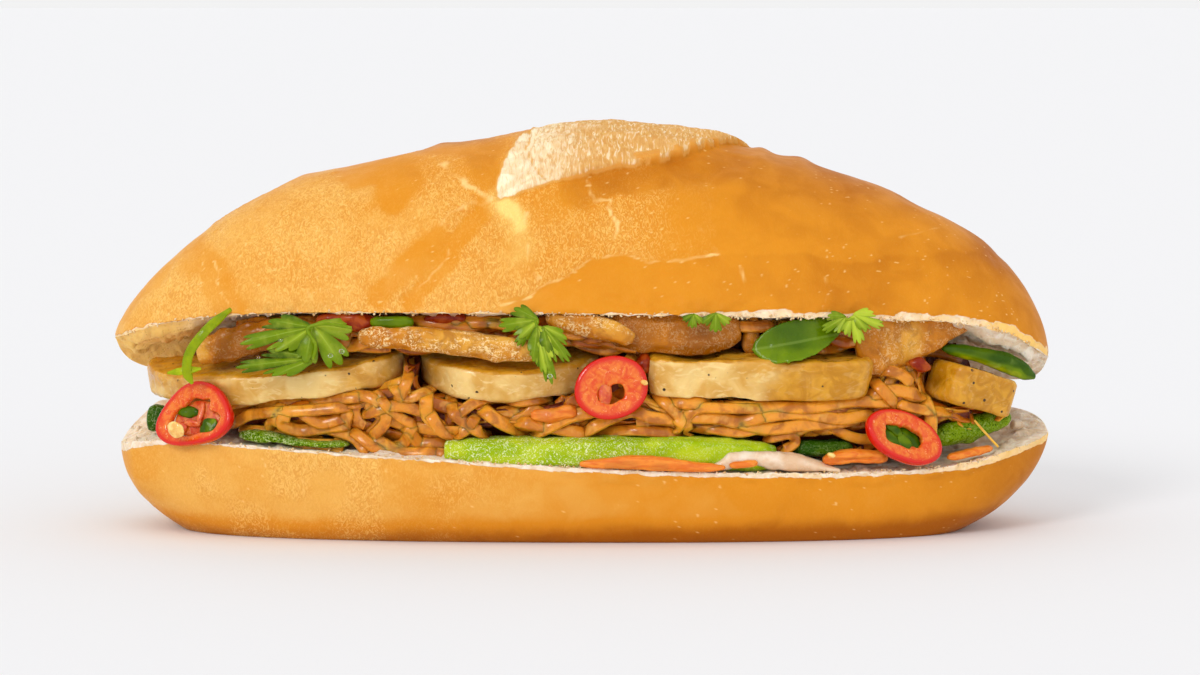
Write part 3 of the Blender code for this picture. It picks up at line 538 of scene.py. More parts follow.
def mixed(tree, share, a, b):
    """Colour a, turning to b as share goes from 0 to 1."""
    values = {0: share, 6: a, 7: b}
    return put(tree, "ShaderNodeMix", values, data_type="RGBA").outputs[2]


def tint(red, green, blue):
    """A colour given as it looks on a screen, turned into light."""
    return tuple((c / 255.0 / 12.92 if c < 10 else ((c / 255.0 + 0.055) / 1.055) ** 2.4) for c in (red, green, blue)) + (1.0,)


def finish_for(name, **plain):
    """A material with one Principled shader. plain sets the sockets that are the same all over."""
    material = bpy.data.materials.new(name)
    material.use_nodes = True
    shader = material.node_tree.nodes["Principled BSDF"]
    for socket, value in plain.items():
        shader.inputs[socket.replace("_", " ")].default_value = value
    return material, material.node_tree, shader


def relief(tree, height, distance, strength=1.0, under=None):
    values = {"Height": height, "Distance": distance * MM, "Strength": strength}
    if under is not None:
        values["Normal"] = under
    return put(tree, "ShaderNodeBump", values).outputs["Normal"]


# The crust's finish: golden where it is thin and deeper orange to the right, with painted shade that darkens it below,
# at the crest and under the score, a fine crackle on its left half whose pale flecks are painted highlights and whose
# dark furrows are painted shade, pale creases, a painted highlight below the score's left end, and cream crumb wherever
# the roll is cut or torn.
roll_finish, tree, shader = finish_for(
    "baked_roll", Subsurface_Weight=0.10, Subsurface_Radius=(1.0, 0.45, 0.12), Subsurface_Scale=0.0012,
    Specular_IOR_Level=0.08,
)
bake_and_shade, crumb, torn = painted(tree, "bake_and_shade"), painted(tree, "crumb"), painted(tree, "torn")
crackle, crease, painted_highlight = painted(tree, "crackle"), painted(tree, "crease"), painted(tree, "painted_highlight")
mottle = cloudy(tree, 7.0, 3.0, 0.6)
bake_and_shade = sums(tree, "ADD", bake_and_shade, between(tree, mottle, 0.3, 0.7, -0.06, 0.06))
pale_gold = mixed(tree, between(tree, bake_and_shade, 0.0, 0.5), tint(233, 173, 82), tint(221, 142, 32))
golden = mixed(tree, between(tree, bake_and_shade, 0.45, 1.1), pale_gold, tint(176, 98, 10))
squiggle = cloudy(tree, 1.3, 1.5, 3.0, (0.8, 1.2, 1.4))
golden = mixed(tree, between(tree, crackle, 0.0, 1.0, 0.0, 0.10), golden, tint(246, 198, 120))
# On the crackle, the pale flecks are painted highlights on its fine wrinkles, and the dark furrows are painted shade
# between them.
highlight_fleck = sums(tree, "MULTIPLY", between(tree, squiggle, 0.51, 0.62), between(tree, crackle, 0.0, 1.0, 0.02, 0.42))
golden = mixed(tree, highlight_fleck, golden, tint(252, 210, 122))
furrow_shade = sums(tree, "MULTIPLY", between(tree, squiggle, 0.49, 0.38), between(tree, crackle, 0.0, 1.0, 0.02, 0.30))
golden = mixed(tree, furrow_shade, golden, tint(200, 112, 26))
# A painted highlight: a bright pale yellow spot just below the left end of the score.
golden = mixed(tree, between(tree, painted_highlight, 0.0, 1.0, 0.0, 0.66), golden, tint(255, 234, 142))
golden = mixed(tree, between(tree, crease, 0.12, 0.85, 0.0, 0.8), golden, tint(252, 214, 138))
strand = cloudy(tree, 1.2, 2.5, 0.9, (0.55, 2.4, 3.0))
tear = mixed(tree, between(tree, bake_and_shade, 0.10, 0.65), tint(252, 238, 200), tint(222, 170, 98))
dark_strand = sums(tree, "MULTIPLY", between(tree, strand, 0.49, 0.40), between(tree, bake_and_shade, 0.1, 0.5, 0.25, 0.6))
tear = mixed(tree, dark_strand, tear, tint(206, 142, 70))
tear = mixed(tree, between(tree, strand, 0.53, 0.64, 0.0, 0.55), tear, tint(255, 240, 208))
tear = mixed(tree, between(tree, cloudy(tree, 5.0, 2.0, 1.0), 0.45, 0.62, 0.0, 0.35), tear, tint(222, 166, 96))
golden = mixed(tree, between(tree, torn, 0.05, 0.35, 0.0, 0.5), golden, tint(228, 168, 88))
golden = mixed(tree, between(tree, torn, 0.45, 0.8), golden, tear)
pores = spots(tree, 1.0)
dough = mixed(tree, between(tree, cloudy(tree, 2.6, 3.0, 0.8), 0.35, 0.65), tint(232, 206, 172), tint(248, 234, 214))
dough = mixed(tree, between(tree, bake_and_shade, 0.40, 1.0, 0.0, 0.85), dough, tint(255, 202, 98))
# Darker at the pores: painted shade in the holes of the crumb.
dough = mixed(tree, between(tree, pores, 0.20, 0.08, 0.0, 0.16), dough, tint(190, 136, 84))
surface = mixed(tree, between(tree, crumb, 0.3, 0.7), golden, dough)
tree.links.new(surface, shader.inputs["Base Color"])
dull = sums(tree, "MAXIMUM", crumb, torn)
gloss = between(tree, mottle, 0.3, 0.7, 0.36, 0.50)
tree.links.new(sums(tree, "ADD", gloss, between(tree, dull, 0.2, 0.8, 0.0, 0.42)), shader.inputs["Roughness"])
fine = relief(tree, sums(tree, "MULTIPLY", squiggle, between(tree, crackle, 0.0, 1.0, 0.25, 1.0)), 0.22, 0.7)
fine = relief(tree, between(tree, torn, 0.2, 0.8, 0.5, 0.0), 0.4, 1.0, fine)
fibre = sums(tree, "MULTIPLY", strand, between(tree, torn, 0.2, 0.8))
fine = relief(tree, fibre, 0.35, 0.5, fine)
sponge = sums(tree, "MULTIPLY", between(tree, pores, 0.08, 0.4), between(tree, crumb, 0.2, 0.8))
fine = relief(tree, sponge, 0.22, 0.5, fine)
tree.links.new(fine, shader.inputs["Normal"])
for half in (upper_half, lower_half):
    half.data.materials.append(roll_finish)
    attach(half, "root")
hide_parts("bread")
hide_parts("bread")


# ==== Cucumber and carrot ==========================================================
# Long pieces of cucumber and strips of carrot laid along the lower half, behind its lip.
# They are cut with a knife, so their faces are wet and their edges a little torn.


def pressed_copy(node, voxel, rounds=4):
    """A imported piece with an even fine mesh, softened where it was pressed. Voxel in millimetres."""
    obj = bpy.data.objects.new(f"{node}_piece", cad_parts[node].data.copy())
    bpy.context.scene.collection.objects.link(obj)
    bm = bmesh.new()
    bm.from_mesh(obj.data)
    bmesh.ops.remove_doubles(bm, verts=bm.verts, dist=1e-6)
    bmesh.ops.recalc_face_normals(bm, faces=bm.faces)
    bm.to_mesh(obj.data)
    bm.free()
    skin = obj.modifiers.new("even_mesh", "REMESH")
    skin.mode, skin.voxel_size = "VOXEL", voxel * MM
    soft = obj.modifiers.new("softened", "SMOOTH")
    soft.factor, soft.iterations = 0.5, rounds
    made = bpy.data.meshes.new_from_object(obj.evaluated_get(bpy.context.evaluated_depsgraph_get()))
    obj.modifiers.clear()
    obj.data = made
    obj.data.materials.clear()
    obj.data.shade_smooth()
    return obj


def surface_of(obj):
    """Points in millimetres, before the shift, and normals of a mesh."""
    mesh = obj.data
    points, normals = np.empty(len(mesh.vertices) * 3), np.empty(len(mesh.vertices) * 3)
    mesh.vertices.foreach_get("co", points)
    mesh.vertex_normals.foreach_get("vector", normals)
    return points.reshape(-1, 3) / MM - (0.0, SHIFT_Y, 0.0), normals.reshape(-1, 3)


def worked(obj, points, marks):
    """Gives a mesh its new points in millimetres, and its marks."""
    obj.data.vertices.foreach_set("co", ((points + (0.0, SHIFT_Y, 0.0)) * MM).ravel())
    for mark, values in marks.items():
        layer = obj.data.attributes.new(mark, "FLOAT", "POINT")
        layer.data.foreach_set("value", np.broadcast_to(values, len(points)).astype(np.float32))
    obj.data.update()


def placed(obj, material, slot, *nodes):
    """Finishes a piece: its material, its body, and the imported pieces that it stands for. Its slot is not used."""
    obj.data.materials.clear()
    obj.data.materials.append(material)
    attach(obj, "root")
    if nodes:
        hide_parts(*nodes)


cucumber_finish, tree, shader = finish_for(
    "wet_cucumber", Subsurface_Weight=0.25, Subsurface_Radius=(0.8, 1.0, 0.2), Subsurface_Scale=0.0015,
    Coat_Weight=0.05, Coat_Roughness=0.08, Specular_IOR_Level=0.05,
)
rind, frost = painted(tree, "rind"), painted(tree, "frost")
flesh = mixed(tree, between(tree, cloudy(tree, 4.0, 3.0, 0.5, (2.5, 1.0, 1.0)), 0.35, 0.65), tint(182, 200, 30), tint(150, 178, 4))
flesh = mixed(tree, between(tree, rind, 0.0, 0.6), flesh, tint(112, 142, 0))
flesh = mixed(tree, between(tree, rind, 0.55, 1.0), flesh, tint(46, 84, 6))
thread = cloudy(tree, 0.9, 3.0, 2.2)
flesh = mixed(tree, sums(tree, "MULTIPLY", between(tree, thread, 0.47, 0.36), between(tree, rind, 0.3, 0.6)), flesh, tint(40, 76, 0))
flesh = mixed(tree, sums(tree, "MULTIPLY", between(tree, thread, 0.52, 0.66), frost), flesh, tint(234, 240, 190))
tree.links.new(flesh, shader.inputs["Base Color"])
tree.links.new(between(tree, thread, 0.3, 0.7, 0.22, 0.5), shader.inputs["Roughness"])
tree.links.new(relief(tree, thread, 0.22, 0.6), shader.inputs["Normal"])
for k, (green, white) in enumerate(((0.0, 0.85), (0.62, 0.5), (0.95, 0.1), (0.50, 0.12), (0.9, 0.2)), 1):
    piece = pressed_copy(f"cucumber_{k}", 0.4)
    p, n = surface_of(piece)
    wobble = (0.30 + 0.5 * (k == 4)) * grain(p, 5.0 - 1.6 * (k == 4), 200 + k) + 0.16 * grain(p, 1.9, 210 + k) + 0.07 * grain(p, 0.9, 220 + k)
    rind_mark = green + 0.25 * grain(p, 6.0, 230 + k) + (0.5 * ease(p[:, 0], 10.0, 46.0) * 0.5 if k == 1 else 0.0)
    frosting = white * (1.0 - 0.75 * ease(p[:, 0], 0.0, 30.0)) if k == 1 else white
    if k == 2:
        p[:, 2] = 21.8 + (p[:, 2] - 21.8) * (1.0 - 0.5 * ease(p[:, 0], -74.0, -58.0))
    if k == 4:
        p[:, 2] += 0.19 * (p[:, 0] - 82.0)
    if k == 1:
        low = 1.0 - ease(p[:, 2], p[:, 2].min() + 0.5, p[:, 2].max() - 1.0)
        p = p - np.stack([0.0 * low, 1.0 + 0.8 * low, 1.7 * low], 1)
    worked(piece, p + n * wobble[:, None], {"rind": np.clip(rind_mark, 0, 1), "frost": frosting})
    placed(piece, cucumber_finish, "cucumber", f"cucumber_{k}")

carrot_finish, tree, shader = finish_for(
    "cut_carrot", Subsurface_Weight=0.3, Subsurface_Radius=(1.0, 0.4, 0.1), Subsurface_Scale=0.0015,
    Coat_Weight=0.1, Specular_IOR_Level=0.3,
)
streak = cloudy(tree, 0.9, 3.0, 0.8, (5.0, 1.0, 1.0))
flesh = mixed(tree, between(tree, streak, 0.35, 0.65), tint(222, 112, 22), tint(238, 144, 44))
flesh = mixed(tree, between(tree, painted(tree, "stain"), 0.2, 1.0, 0.0, 0.8), flesh, tint(190, 106, 36))
tree.links.new(flesh, shader.inputs["Base Color"])
tree.links.new(between(tree, streak, 0.3, 0.7, 0.3, 0.5), shader.inputs["Roughness"])
tree.links.new(relief(tree, streak, 0.15, 0.5), shader.inputs["Normal"])
for k in range(1, 6):
    piece = pressed_copy(f"carrot_{k}", 0.3, 3)
    p, n = surface_of(piece)
    wobble = 0.16 * grain(p, 3.0, 250 + k) + 0.08 * grain(p, 1.1, 260 + k)
    if k == 1:
        middle = np.exp(-(((p[:, 0] - 14.0) / 11.0) ** 2))
        p = p - np.stack([0.0 * middle, 0.8 + 0.0 * middle, 0.5 - (1.5 * middle - 0.5) * (p[:, 2] - 17.6) / 3.0], 1)
    if k == 5:
        p = p + (0.0, 0.9, 0.0)
        wobble = 2.2 * wobble - 0.5 * (1.0 - ease(np.abs(p[:, 0] + 6.3), 1.0, 5.0)) * ease(p[:, 2], 29.0, 32.0)
    if k == 2:
        slit = np.exp(-(((p[:, 2] - (19.2 + 0.04 * (p[:, 0] - 62.0))) / 0.35) ** 2)) * ease(p[:, 0], 57, 60) * (1 - ease(p[:, 0], 66, 68))
        wobble = wobble - 0.8 * slit
    stain = ease(grain(p, 4.0, 270 + k), 0.1, 0.7) * 0.6
    worked(piece, p + n * wobble[:, None], {"stain": stain})
    placed(piece, carrot_finish, "carrot", f"carrot_{k}")


# ==== Glass noodles ================================================================
# A heap of stir-fried mung bean noodles, amber with soy sauce and half clear, pressed
# between the halves. A dark lumpy core holds the room, and flat strands wander over it.

# The core's dark red-brown is the sauce and also painted shade, for the gaps between the strands.
core_and_gap_shade_finish, tree, shader = finish_for("sauced_core_and_gap_shade", Specular_IOR_Level=0.5)
shade = cloudy(tree, 3.0, 3.0, 1.0)
sauce_and_gap_shade = mixed(tree, between(tree, shade, 0.35, 0.65), tint(84, 16, 2), tint(132, 50, 8))
tree.links.new(sauce_and_gap_shade, shader.inputs["Base Color"])
tree.links.new(between(tree, shade, 0.3, 0.7, 0.28, 0.5), shader.inputs["Roughness"])
tree.links.new(relief(tree, cloudy(tree, 1.2, 3.0, 1.5), 0.5, 0.8), shader.inputs["Normal"])
core = pressed_copy("noodle_heap", 1.0, 10)
p, n = surface_of(core)
heap_surface = bmesh.new()
heap_surface.from_mesh(core.data)
bmesh.ops.scale(heap_surface, vec=(1.0 / MM,) * 3, verts=heap_surface.verts)
bmesh.ops.translate(heap_surface, vec=(0.0, -SHIFT_Y, 0.0), verts=heap_surface.verts)
from mathutils.bvhtree import BVHTree

heap_tree = BVHTree.FromBMesh(heap_surface)
heap_surface.free()
sunk = 2.4 + 0.5 * grain(p, 5.0, 301)
worked(core, p - n * sunk[:, None], {})
placed(core, core_and_gap_shade_finish, "glass_noodle")

dice = np.random.default_rng(11)


def wander(start, heading, length, turns, sink, phase):
    """A strand's line over the heap: a list of (place, outward normal), one for each step."""
    place, normal, _, _ = heap_tree.find_nearest(Vector(start))
    heading = Vector(heading)
    line, step = [], 1.1
    for i in range(int(length / step)):
        bend = turns[0] + turns[1] * math.sin(phase + i * turns[2])
        heading = (heading - normal * heading.dot(normal)).normalized()
        heading = Matrix.Rotation(bend * step, 3, normal) @ heading
        hit, new_normal, _, _ = heap_tree.find_nearest(place + heading * step)
        if new_normal.y > 0.35 or (hit - place).length < 0.25 * step or hit.z > 47.0:
            break
        heading = (hit - place).normalized()
        normal = (normal * 0.6 + new_normal * 0.4).normalized()
        place = hit
        weave = sink + 0.55 * math.sin(phase * 3.0 + i * 0.42)
        line.append((place - normal * weave, normal.copy()))
    return line


def strand_lines():
    """Lines for every strand: gentle ones along the heap, and loops."""
    lines = []
    for layer, count, sink in ((0, 42, 2.8), (1, 34, 1.9), (2, 14, 1.0)):
        for k in range(count):
            across = -94.0 + 188.0 * (k + dice.uniform(0.0, 1.0)) / count
            height = dice.uniform(19.0, 35.0) if dice.uniform() < 0.85 else dice.uniform(35.0, 44.0)
            start = (across, -half_width(across) + 4.0, height)
            if layer < 2 and dice.uniform() < (0.7 if across < -44.0 else 0.15):
                continue
            loopy = dice.uniform() < (0.5 if across < 20.0 else 0.3)
            side = 1.0 if dice.uniform() < 0.5 else -1.0
            if loopy:
                turns = (side * dice.uniform(0.12, 0.24), dice.uniform(0.0, 0.1), 0.15)
                length = dice.uniform(16.0, 34.0)
                heading = (side, 0.0, dice.uniform(-1.0, 1.0))
            else:
                turns = (side * dice.uniform(0.0, 0.03), dice.uniform(0.03, 0.09), dice.uniform(0.1, 0.3))
                length = dice.uniform(28.0, 60.0)
                heading = (side, 0.0, dice.uniform(-0.25, 0.25))
            line = wander(start, heading, length, turns, sink, dice.uniform(0.0, 6.28))
            if len(line) >= 7:
                lines.append((line, dice.uniform(0.0, 1.0), dice.uniform(0.8, 1.18)))
    return lines


def wire_of(name, lines, blunt=0.75):
    """A wire mesh through the strands' points, with what each point needs as attributes."""
    verts, edges, across, swell, tone = [], [], [], [], []
    for line, shade, breadth in lines:
        points = [np.array(place) for place, _ in line]
        for _ in range(2):
            inner = [0.25 * a + 0.5 * b + 0.25 * c for a, b, c in zip(points, points[1:], points[2:])]
            points = [points[0], *inner, points[-1]]
        first = len(verts)
        for i, (point, (_, normal)) in enumerate(zip(points, line)):
            verts.append(((point + (0.0, SHIFT_Y, 0.0)) * MM).tolist())
            across.append(tuple(normal))
            ends = min(i, len(points) - 1 - i)
            swell.append(breadth * min(1.0, blunt + 0.15 * ends))
            tone.append(shade)
        edges += [(first + i, first + i + 1) for i in range(len(points) - 1)]
    mesh = bpy.data.meshes.new(name)
    mesh.from_pydata(verts, edges, [])
    facing = mesh.attributes.new("facing", "FLOAT_VECTOR", "POINT")
    facing.data.foreach_set("vector", np.array(across, np.float32).ravel())
    for mark, values in (("swell", swell), ("tone", tone)):
        mesh.attributes.new(mark, "FLOAT", "POINT").data.foreach_set("value", np.array(values, np.float32))
    obj = bpy.data.objects.new(name, mesh)
    bpy.context.scene.collection.objects.link(obj)
    return obj


def socket(tree, name, kind, default=None):
    """Adds a named input to a node tree."""
    made = tree.interface.new_socket(name=name, in_out="INPUT", socket_type=kind)
    if default is not None:
        made.default_value = default
    return made


def strand_tree():
    """Geometry nodes that draw a flat strand with rounded edges along every wire."""
    tree = bpy.data.node_groups.new("flat_strand", "GeometryNodeTree")
    socket(tree, "Geometry", "NodeSocketGeometry")
    tree.interface.new_socket(name="Geometry", in_out="OUTPUT", socket_type="NodeSocketGeometry")
    socket(tree, "Width", "NodeSocketFloat", 0.0024)
    socket(tree, "Thickness", "NodeSocketFloat", 0.0013)
    socket(tree, "Sides", "NodeSocketInt", 8)
    socket(tree, "Material", "NodeSocketMaterial")
    given = put(tree, "NodeGroupInput").outputs
    line = put(tree, "GeometryNodeMeshToCurve", {"Mesh": given["Geometry"]}).outputs["Curve"]
    facing = put(tree, "GeometryNodeInputNamedAttribute", {"Name": "facing"}, data_type="FLOAT_VECTOR").outputs["Attribute"]
    line = put(tree, "GeometryNodeSetCurveNormal", {"Curve": line, "Normal": facing}, mode="FREE").outputs["Curve"]
    profile = put(tree, "GeometryNodeCurvePrimitiveCircle", {"Resolution": given["Sides"], "Radius": 0.5}).outputs["Curve"]
    flat = put(tree, "ShaderNodeCombineXYZ", {"X": given["Thickness"], "Y": given["Width"], "Z": 1.0}).outputs["Vector"]
    profile = put(tree, "GeometryNodeTransform", {"Geometry": profile, "Scale": flat}).outputs["Geometry"]
    swell = put(tree, "GeometryNodeInputNamedAttribute", {"Name": "swell"}, data_type="FLOAT").outputs["Attribute"]
    values = {"Curve": line, "Profile Curve": profile, "Scale": swell, "Fill Caps": True}
    made = put(tree, "GeometryNodeCurveToMesh", values).outputs["Mesh"]
    made = put(tree, "GeometryNodeSetShadeSmooth", {"Geometry": made}).outputs["Geometry"]
    made = put(tree, "GeometryNodeRealizeInstances", {"Geometry": made}).outputs["Geometry"]
    made = put(tree, "GeometryNodeSetMaterial", {"Geometry": made, "Material": given["Material"]}).outputs["Geometry"]
    put(tree, "NodeGroupOutput", {"Geometry": made})
    return tree


def drawn(obj, tree, **inputs):
    """Runs a geometry node tree on an object with these inputs, and keeps the result as a plain mesh."""
    modifier = obj.modifiers.new(tree.name, "NODES")
    modifier.node_group = tree
    for item in tree.interface.items_tree:
        if item.item_type == "SOCKET" and item.in_out == "INPUT" and item.name in inputs:
            modifier[item.identifier] = inputs[item.name]
    made = bpy.data.meshes.new_from_object(obj.evaluated_get(bpy.context.evaluated_depsgraph_get()))
    obj.modifiers.clear()
    obj.data = made
    return obj


noodle_finish, tree, shader = finish_for(
    "amber_noodle", Subsurface_Weight=0.8, Subsurface_Radius=(1.0, 0.85, 0.65), Subsurface_Scale=0.001,
    Coat_Weight=0.45, Coat_Roughness=0.12, Specular_IOR_Level=0.12,
)
tone = painted(tree, "tone")
amber = mixed(tree, between(tree, tone, 0.0, 1.0), tint(186, 100, 6), tint(236, 160, 44))
# Darker patches are painted shade where the dark heap shows through the clear strands, and paler patches are painted
# highlights.
amber = mixed(tree, between(tree, cloudy(tree, 4.0, 3.0, 0.6), 0.42, 0.66, 0.0, 0.6), amber, tint(140, 58, 2))
amber = mixed(tree, between(tree, cloudy(tree, 2.6, 2.0), 0.56, 0.7, 0.0, 0.4), amber, tint(236, 180, 84))
tree.links.new(amber, shader.inputs["Base Color"])
tree.links.new(between(tree, cloudy(tree, 2.0, 2.0), 0.3, 0.7, 0.2, 0.42), shader.inputs["Roughness"])
tree.links.new(relief(tree, cloudy(tree, 0.8, 2.0, 0.5), 0.10, 0.5), shader.inputs["Normal"])
flat_strand = strand_tree()


def thread(points, count, breadth, tone, facing=(0.0, -1.0, 0.3)):
    """A strand's line through a few points, in the form wire_of takes."""
    knots = np.array(points, float)
    at = np.linspace(0.0, len(knots) - 1.0, len(knots))
    where = np.linspace(0.0, len(knots) - 1.0, count)
    path = np.stack([through(list(zip(at, knots[:, axis])), where) for axis in range(3)], 1)
    return [(Vector(p), Vector(facing).normalized()) for p in path], tone, breadth


def tucked_lines(count):
    """Strands that lie further back, under the roof of the opening and over the ham."""
    lines = []
    for k in range(count):
        west, east = ((-80.0, -26.0), (-14.0, 6.0), (-80.0, -26.0), (32.0, 56.0))[k % 4]
        x, z, points = dice.uniform(west, east), dice.uniform(45.0, 53.0), []
        for _ in range(5):
            y = float(-half_width(np.array(x))) + dice.uniform(6.0, 11.0)
            points.append((x, y, min(z, float(roof(np.array(x), np.array(y))) - 1.5)))
            x, z = x + dice.uniform(4.0, 9.0), float(np.clip(z + dice.uniform(-3.0, 3.0), 44.0, 53.0))
        lines.append(thread(points, 26, dice.uniform(0.9, 1.2), dice.uniform(0.0, 0.8)))
    return lines



# The strands that lie on top, each by the (x, z) of its bends as seen from the front.
TOP_STRANDS = (
    ((-69.5, 28.5), (-71.3, 26.2), (-69.5, 23.8), (-64.5, 22.4), (-58.0, 22.2)),
    ((-68.0, 28.6), (-68.3, 26.7), (-64.6, 25.2), (-59.5, 26.0), (-55.0, 26.8)),
    ((-79.5, 26.8), (-76.0, 28.6), (-69.5, 29.6), (-61.8, 30.2), (-55.0, 31.0)),
    ((-63.0, 29.2), (-59.5, 27.3), (-55.0, 28.4)), ((-55.6, 33.0), (-49.3, 33.6), (-45.2, 31.4), (-44.6, 27.8), (-47.8, 24.4)),
    ((-53.6, 28.8), (-55.0, 24.0), (-56.2, 20.6)), ((-42.6, 35.8), (-39.6, 33.4), (-35.2, 34.8)), ((-35.2, 33.6), (-35.0, 29.2), (-31.6, 26.6)),
    ((-51.0, 24.6), (-46.5, 21.8), (-41.0, 22.4), (-39.0, 26.0)), ((-48.0, 30.0), (-42.0, 31.6), (-36.5, 30.4)),
    ((-29.8, 34.6), (-29.2, 30.6), (-26.4, 27.8), (-23.0, 25.8)), ((-27.8, 29.8), (-23.8, 32.6), (-18.3, 33.2), (-14.2, 32.6), (-9.4, 33.0)),
    ((-21.0, 29.8), (-17.0, 27.2), (-11.5, 24.4)), ((-24.4, 28.6), (-25.8, 26.6), (-27.8, 25.2)), ((-9.6, 25.8), (-2.8, 29.2), (2.2, 30.4)),
    ((2.0, 26.4), (6.0, 28.6), (11.5, 30.6), (15.6, 29.2), (20.4, 28.6)), ((14.8, 37.2), (18.2, 33.2), (22.4, 29.2), (21.8, 27.0)),
    ((16.8, 38.6), (21.0, 33.2), (27.0, 32.2)), ((24.4, 25.6), (24.0, 29.2), (27.0, 31.2), (32.6, 31.2), (40.2, 31.0)),
    ((25.6, 29.2), (31.2, 29.0), (36.0, 28.0), (40.6, 29.2)), ((3.4, 25.0), (11.5, 26.2), (19.8, 25.6)), ((30.0, 26.4), (36.0, 25.6), (41.0, 26.6)),
    ((36.0, 31.4), (44.2, 31.2), (53.0, 31.2), (61.6, 32.2), (69.6, 31.8)), ((40.0, 29.0), (49.6, 29.8), (58.4, 28.4), (65.0, 29.0)),
    ((36.0, 27.8), (42.6, 26.4), (51.6, 27.2), (59.6, 27.8)), ((43.4, 24.2), (47.4, 25.0), (48.8, 23.0), (46.2, 21.4)),
    ((67.6, 36.0), (71.4, 32.0)), ((79.2, 31.2), (80.2, 28.4), (80.2, 23.6)), ((73.6, 31.2), (79.0, 29.8), (83.2, 29.2)),
    ((76.2, 33.2), (83.0, 31.2), (92.6, 28.4)), ((65.6, 38.0), (69.6, 39.2), (73.6, 38.0), (75.6, 35.8)), ((66.0, 33.6), (72.0, 34.6), (77.5, 33.4)),
    ((-12.5, 27.8), (-6.0, 26.6), (0.5, 25.4)), ((-46.0, 36.0), (-45.5, 33.0), (-42.0, 29.4), (-38.5, 27.4)),
    ((-43.8, 43.0), (-42.8, 40.0), (-43.4, 36.0)), ((-41.2, 43.0), (-41.0, 39.5), (-40.4, 35.0)), ((-39.6, 42.0), (-39.4, 38.0), (-41.6, 33.0)),
    ((9.5, 41.0), (14.0, 43.6), (19.0, 42.0)), ((6.0, 43.8), (12.6, 45.0), (18.0, 44.6)), ((4.0, 42.0), (9.0, 39.0), (16.0, 40.0)),
    ((-76.0, 25.0), (-70.0, 24.6), (-63.0, 23.4)), ((-82.0, 30.6), (-72.0, 32.0), (-61.0, 32.4), (-52.0, 33.2)), ((-70.0, 31.6), (-58.0, 33.2), (-48.0, 34.6), (-42.0, 36.4)), ((-47.0, 23.6), (-41.0, 20.8), (-34.0, 20.6)), ((-45.0, 20.8), (-38.5, 22.4), (-31.0, 23.2)), ((-39.0, 25.4), (-36.0, 21.8), (-31.4, 20.4)), ((-34.0, 29.0), (-31.0, 25.4), (-24.0, 24.4)), ((-58.0, 26.0), (-52.0, 24.0), (-49.0, 21.0)),
)


def laid(knots):
    """Puts a strand's bends on the front of the heap."""
    points = []
    start, end = np.array(knots[0]), np.array(knots[-1])
    before, after = start - (np.array(knots[1]) - start) * 0.5, end + (end - np.array(knots[-2])) * 0.5
    for x, z in (before, *knots, after):
        hit = heap_tree.ray_cast(Vector((x, -60.0, z)), Vector((0.0, 1.0, 0.0)))[0]
        hit = hit or heap_tree.find_nearest(Vector((x, -40.0, z)))[0]
        points.append((x, hit.y - dice.uniform(-0.3, 0.6), z))
    for end in (0, -1):
        points[end] = (points[end][0], points[end][1] + 3.0, points[end][2])
    return thread(points, 8 * len(points), dice.uniform(0.85, 1.1), dice.uniform(0.5, 1.0), (0.0, -1.0, 0.35))


fibre = thread(((90.4, -24.0, 27.2), (93.0, -25.0, 24.2), (95.8, -26.0, 21.2)), 12, 0.2, 1.0)
noodles = wire_of("noodle_strands", strand_lines() + tucked_lines(64) + [laid(knots) for knots in TOP_STRANDS] + [fibre])
drawn(noodles, flat_strand, Width=3.0 * MM, Thickness=0.85 * MM, Sides=8, Material=noodle_finish)
placed(noodles, noodle_finish, "glass_noodle", "noodle_heap")


# ==== Vegetarian ham ===============================================================
# Half slices of pressed vegetarian ham, fried lightly: cream inside, golden and glossy on
# the fried faces, with flecks of black pepper.

ham_finish, tree, shader = finish_for(
    "fried_ham", Subsurface_Weight=0.35, Subsurface_Radius=(1.0, 0.6, 0.25), Subsurface_Scale=0.002,
    Coat_Weight=0.5, Coat_Roughness=0.12, Specular_IOR_Level=0.12,
)
age = painted(tree, "age")
cream = mixed(tree, between(tree, cloudy(tree, 6.0, 3.0, 0.6), 0.35, 0.65), tint(238, 204, 130), tint(216, 166, 78))
fried = mixed(tree, between(tree, cloudy(tree, 3.5, 3.0, 1.0), 0.35, 0.65), tint(214, 154, 36), tint(190, 128, 10))
meat = mixed(tree, between(tree, age, 0.15, 0.85), cream, fried)
streaks = sums(tree, "MULTIPLY", between(tree, cloudy(tree, 1.8, 3.0, 1.6, (2.6, 1.0, 1.0)), 0.52, 0.68), between(tree, age, 0.2, 0.8, 0.5, 0.12))
meat = mixed(tree, streaks, meat, tint(246, 222, 160))
pepper = sums(tree, "MULTIPLY", between(tree, spots(tree, 3.0), 0.15, 0.10), between(tree, cloudy(tree, 3.0), 0.47, 0.53))
meat = mixed(tree, pepper, meat, tint(58, 36, 20))
tree.links.new(meat, shader.inputs["Base Color"])
tree.links.new(between(tree, cloudy(tree, 2.5, 2.0), 0.3, 0.7, 0.22, 0.45), shader.inputs["Roughness"])
tree.links.new(relief(tree, cloudy(tree, 0.9, 3.0, 1.2), 0.12, 0.5), shader.inputs["Normal"])
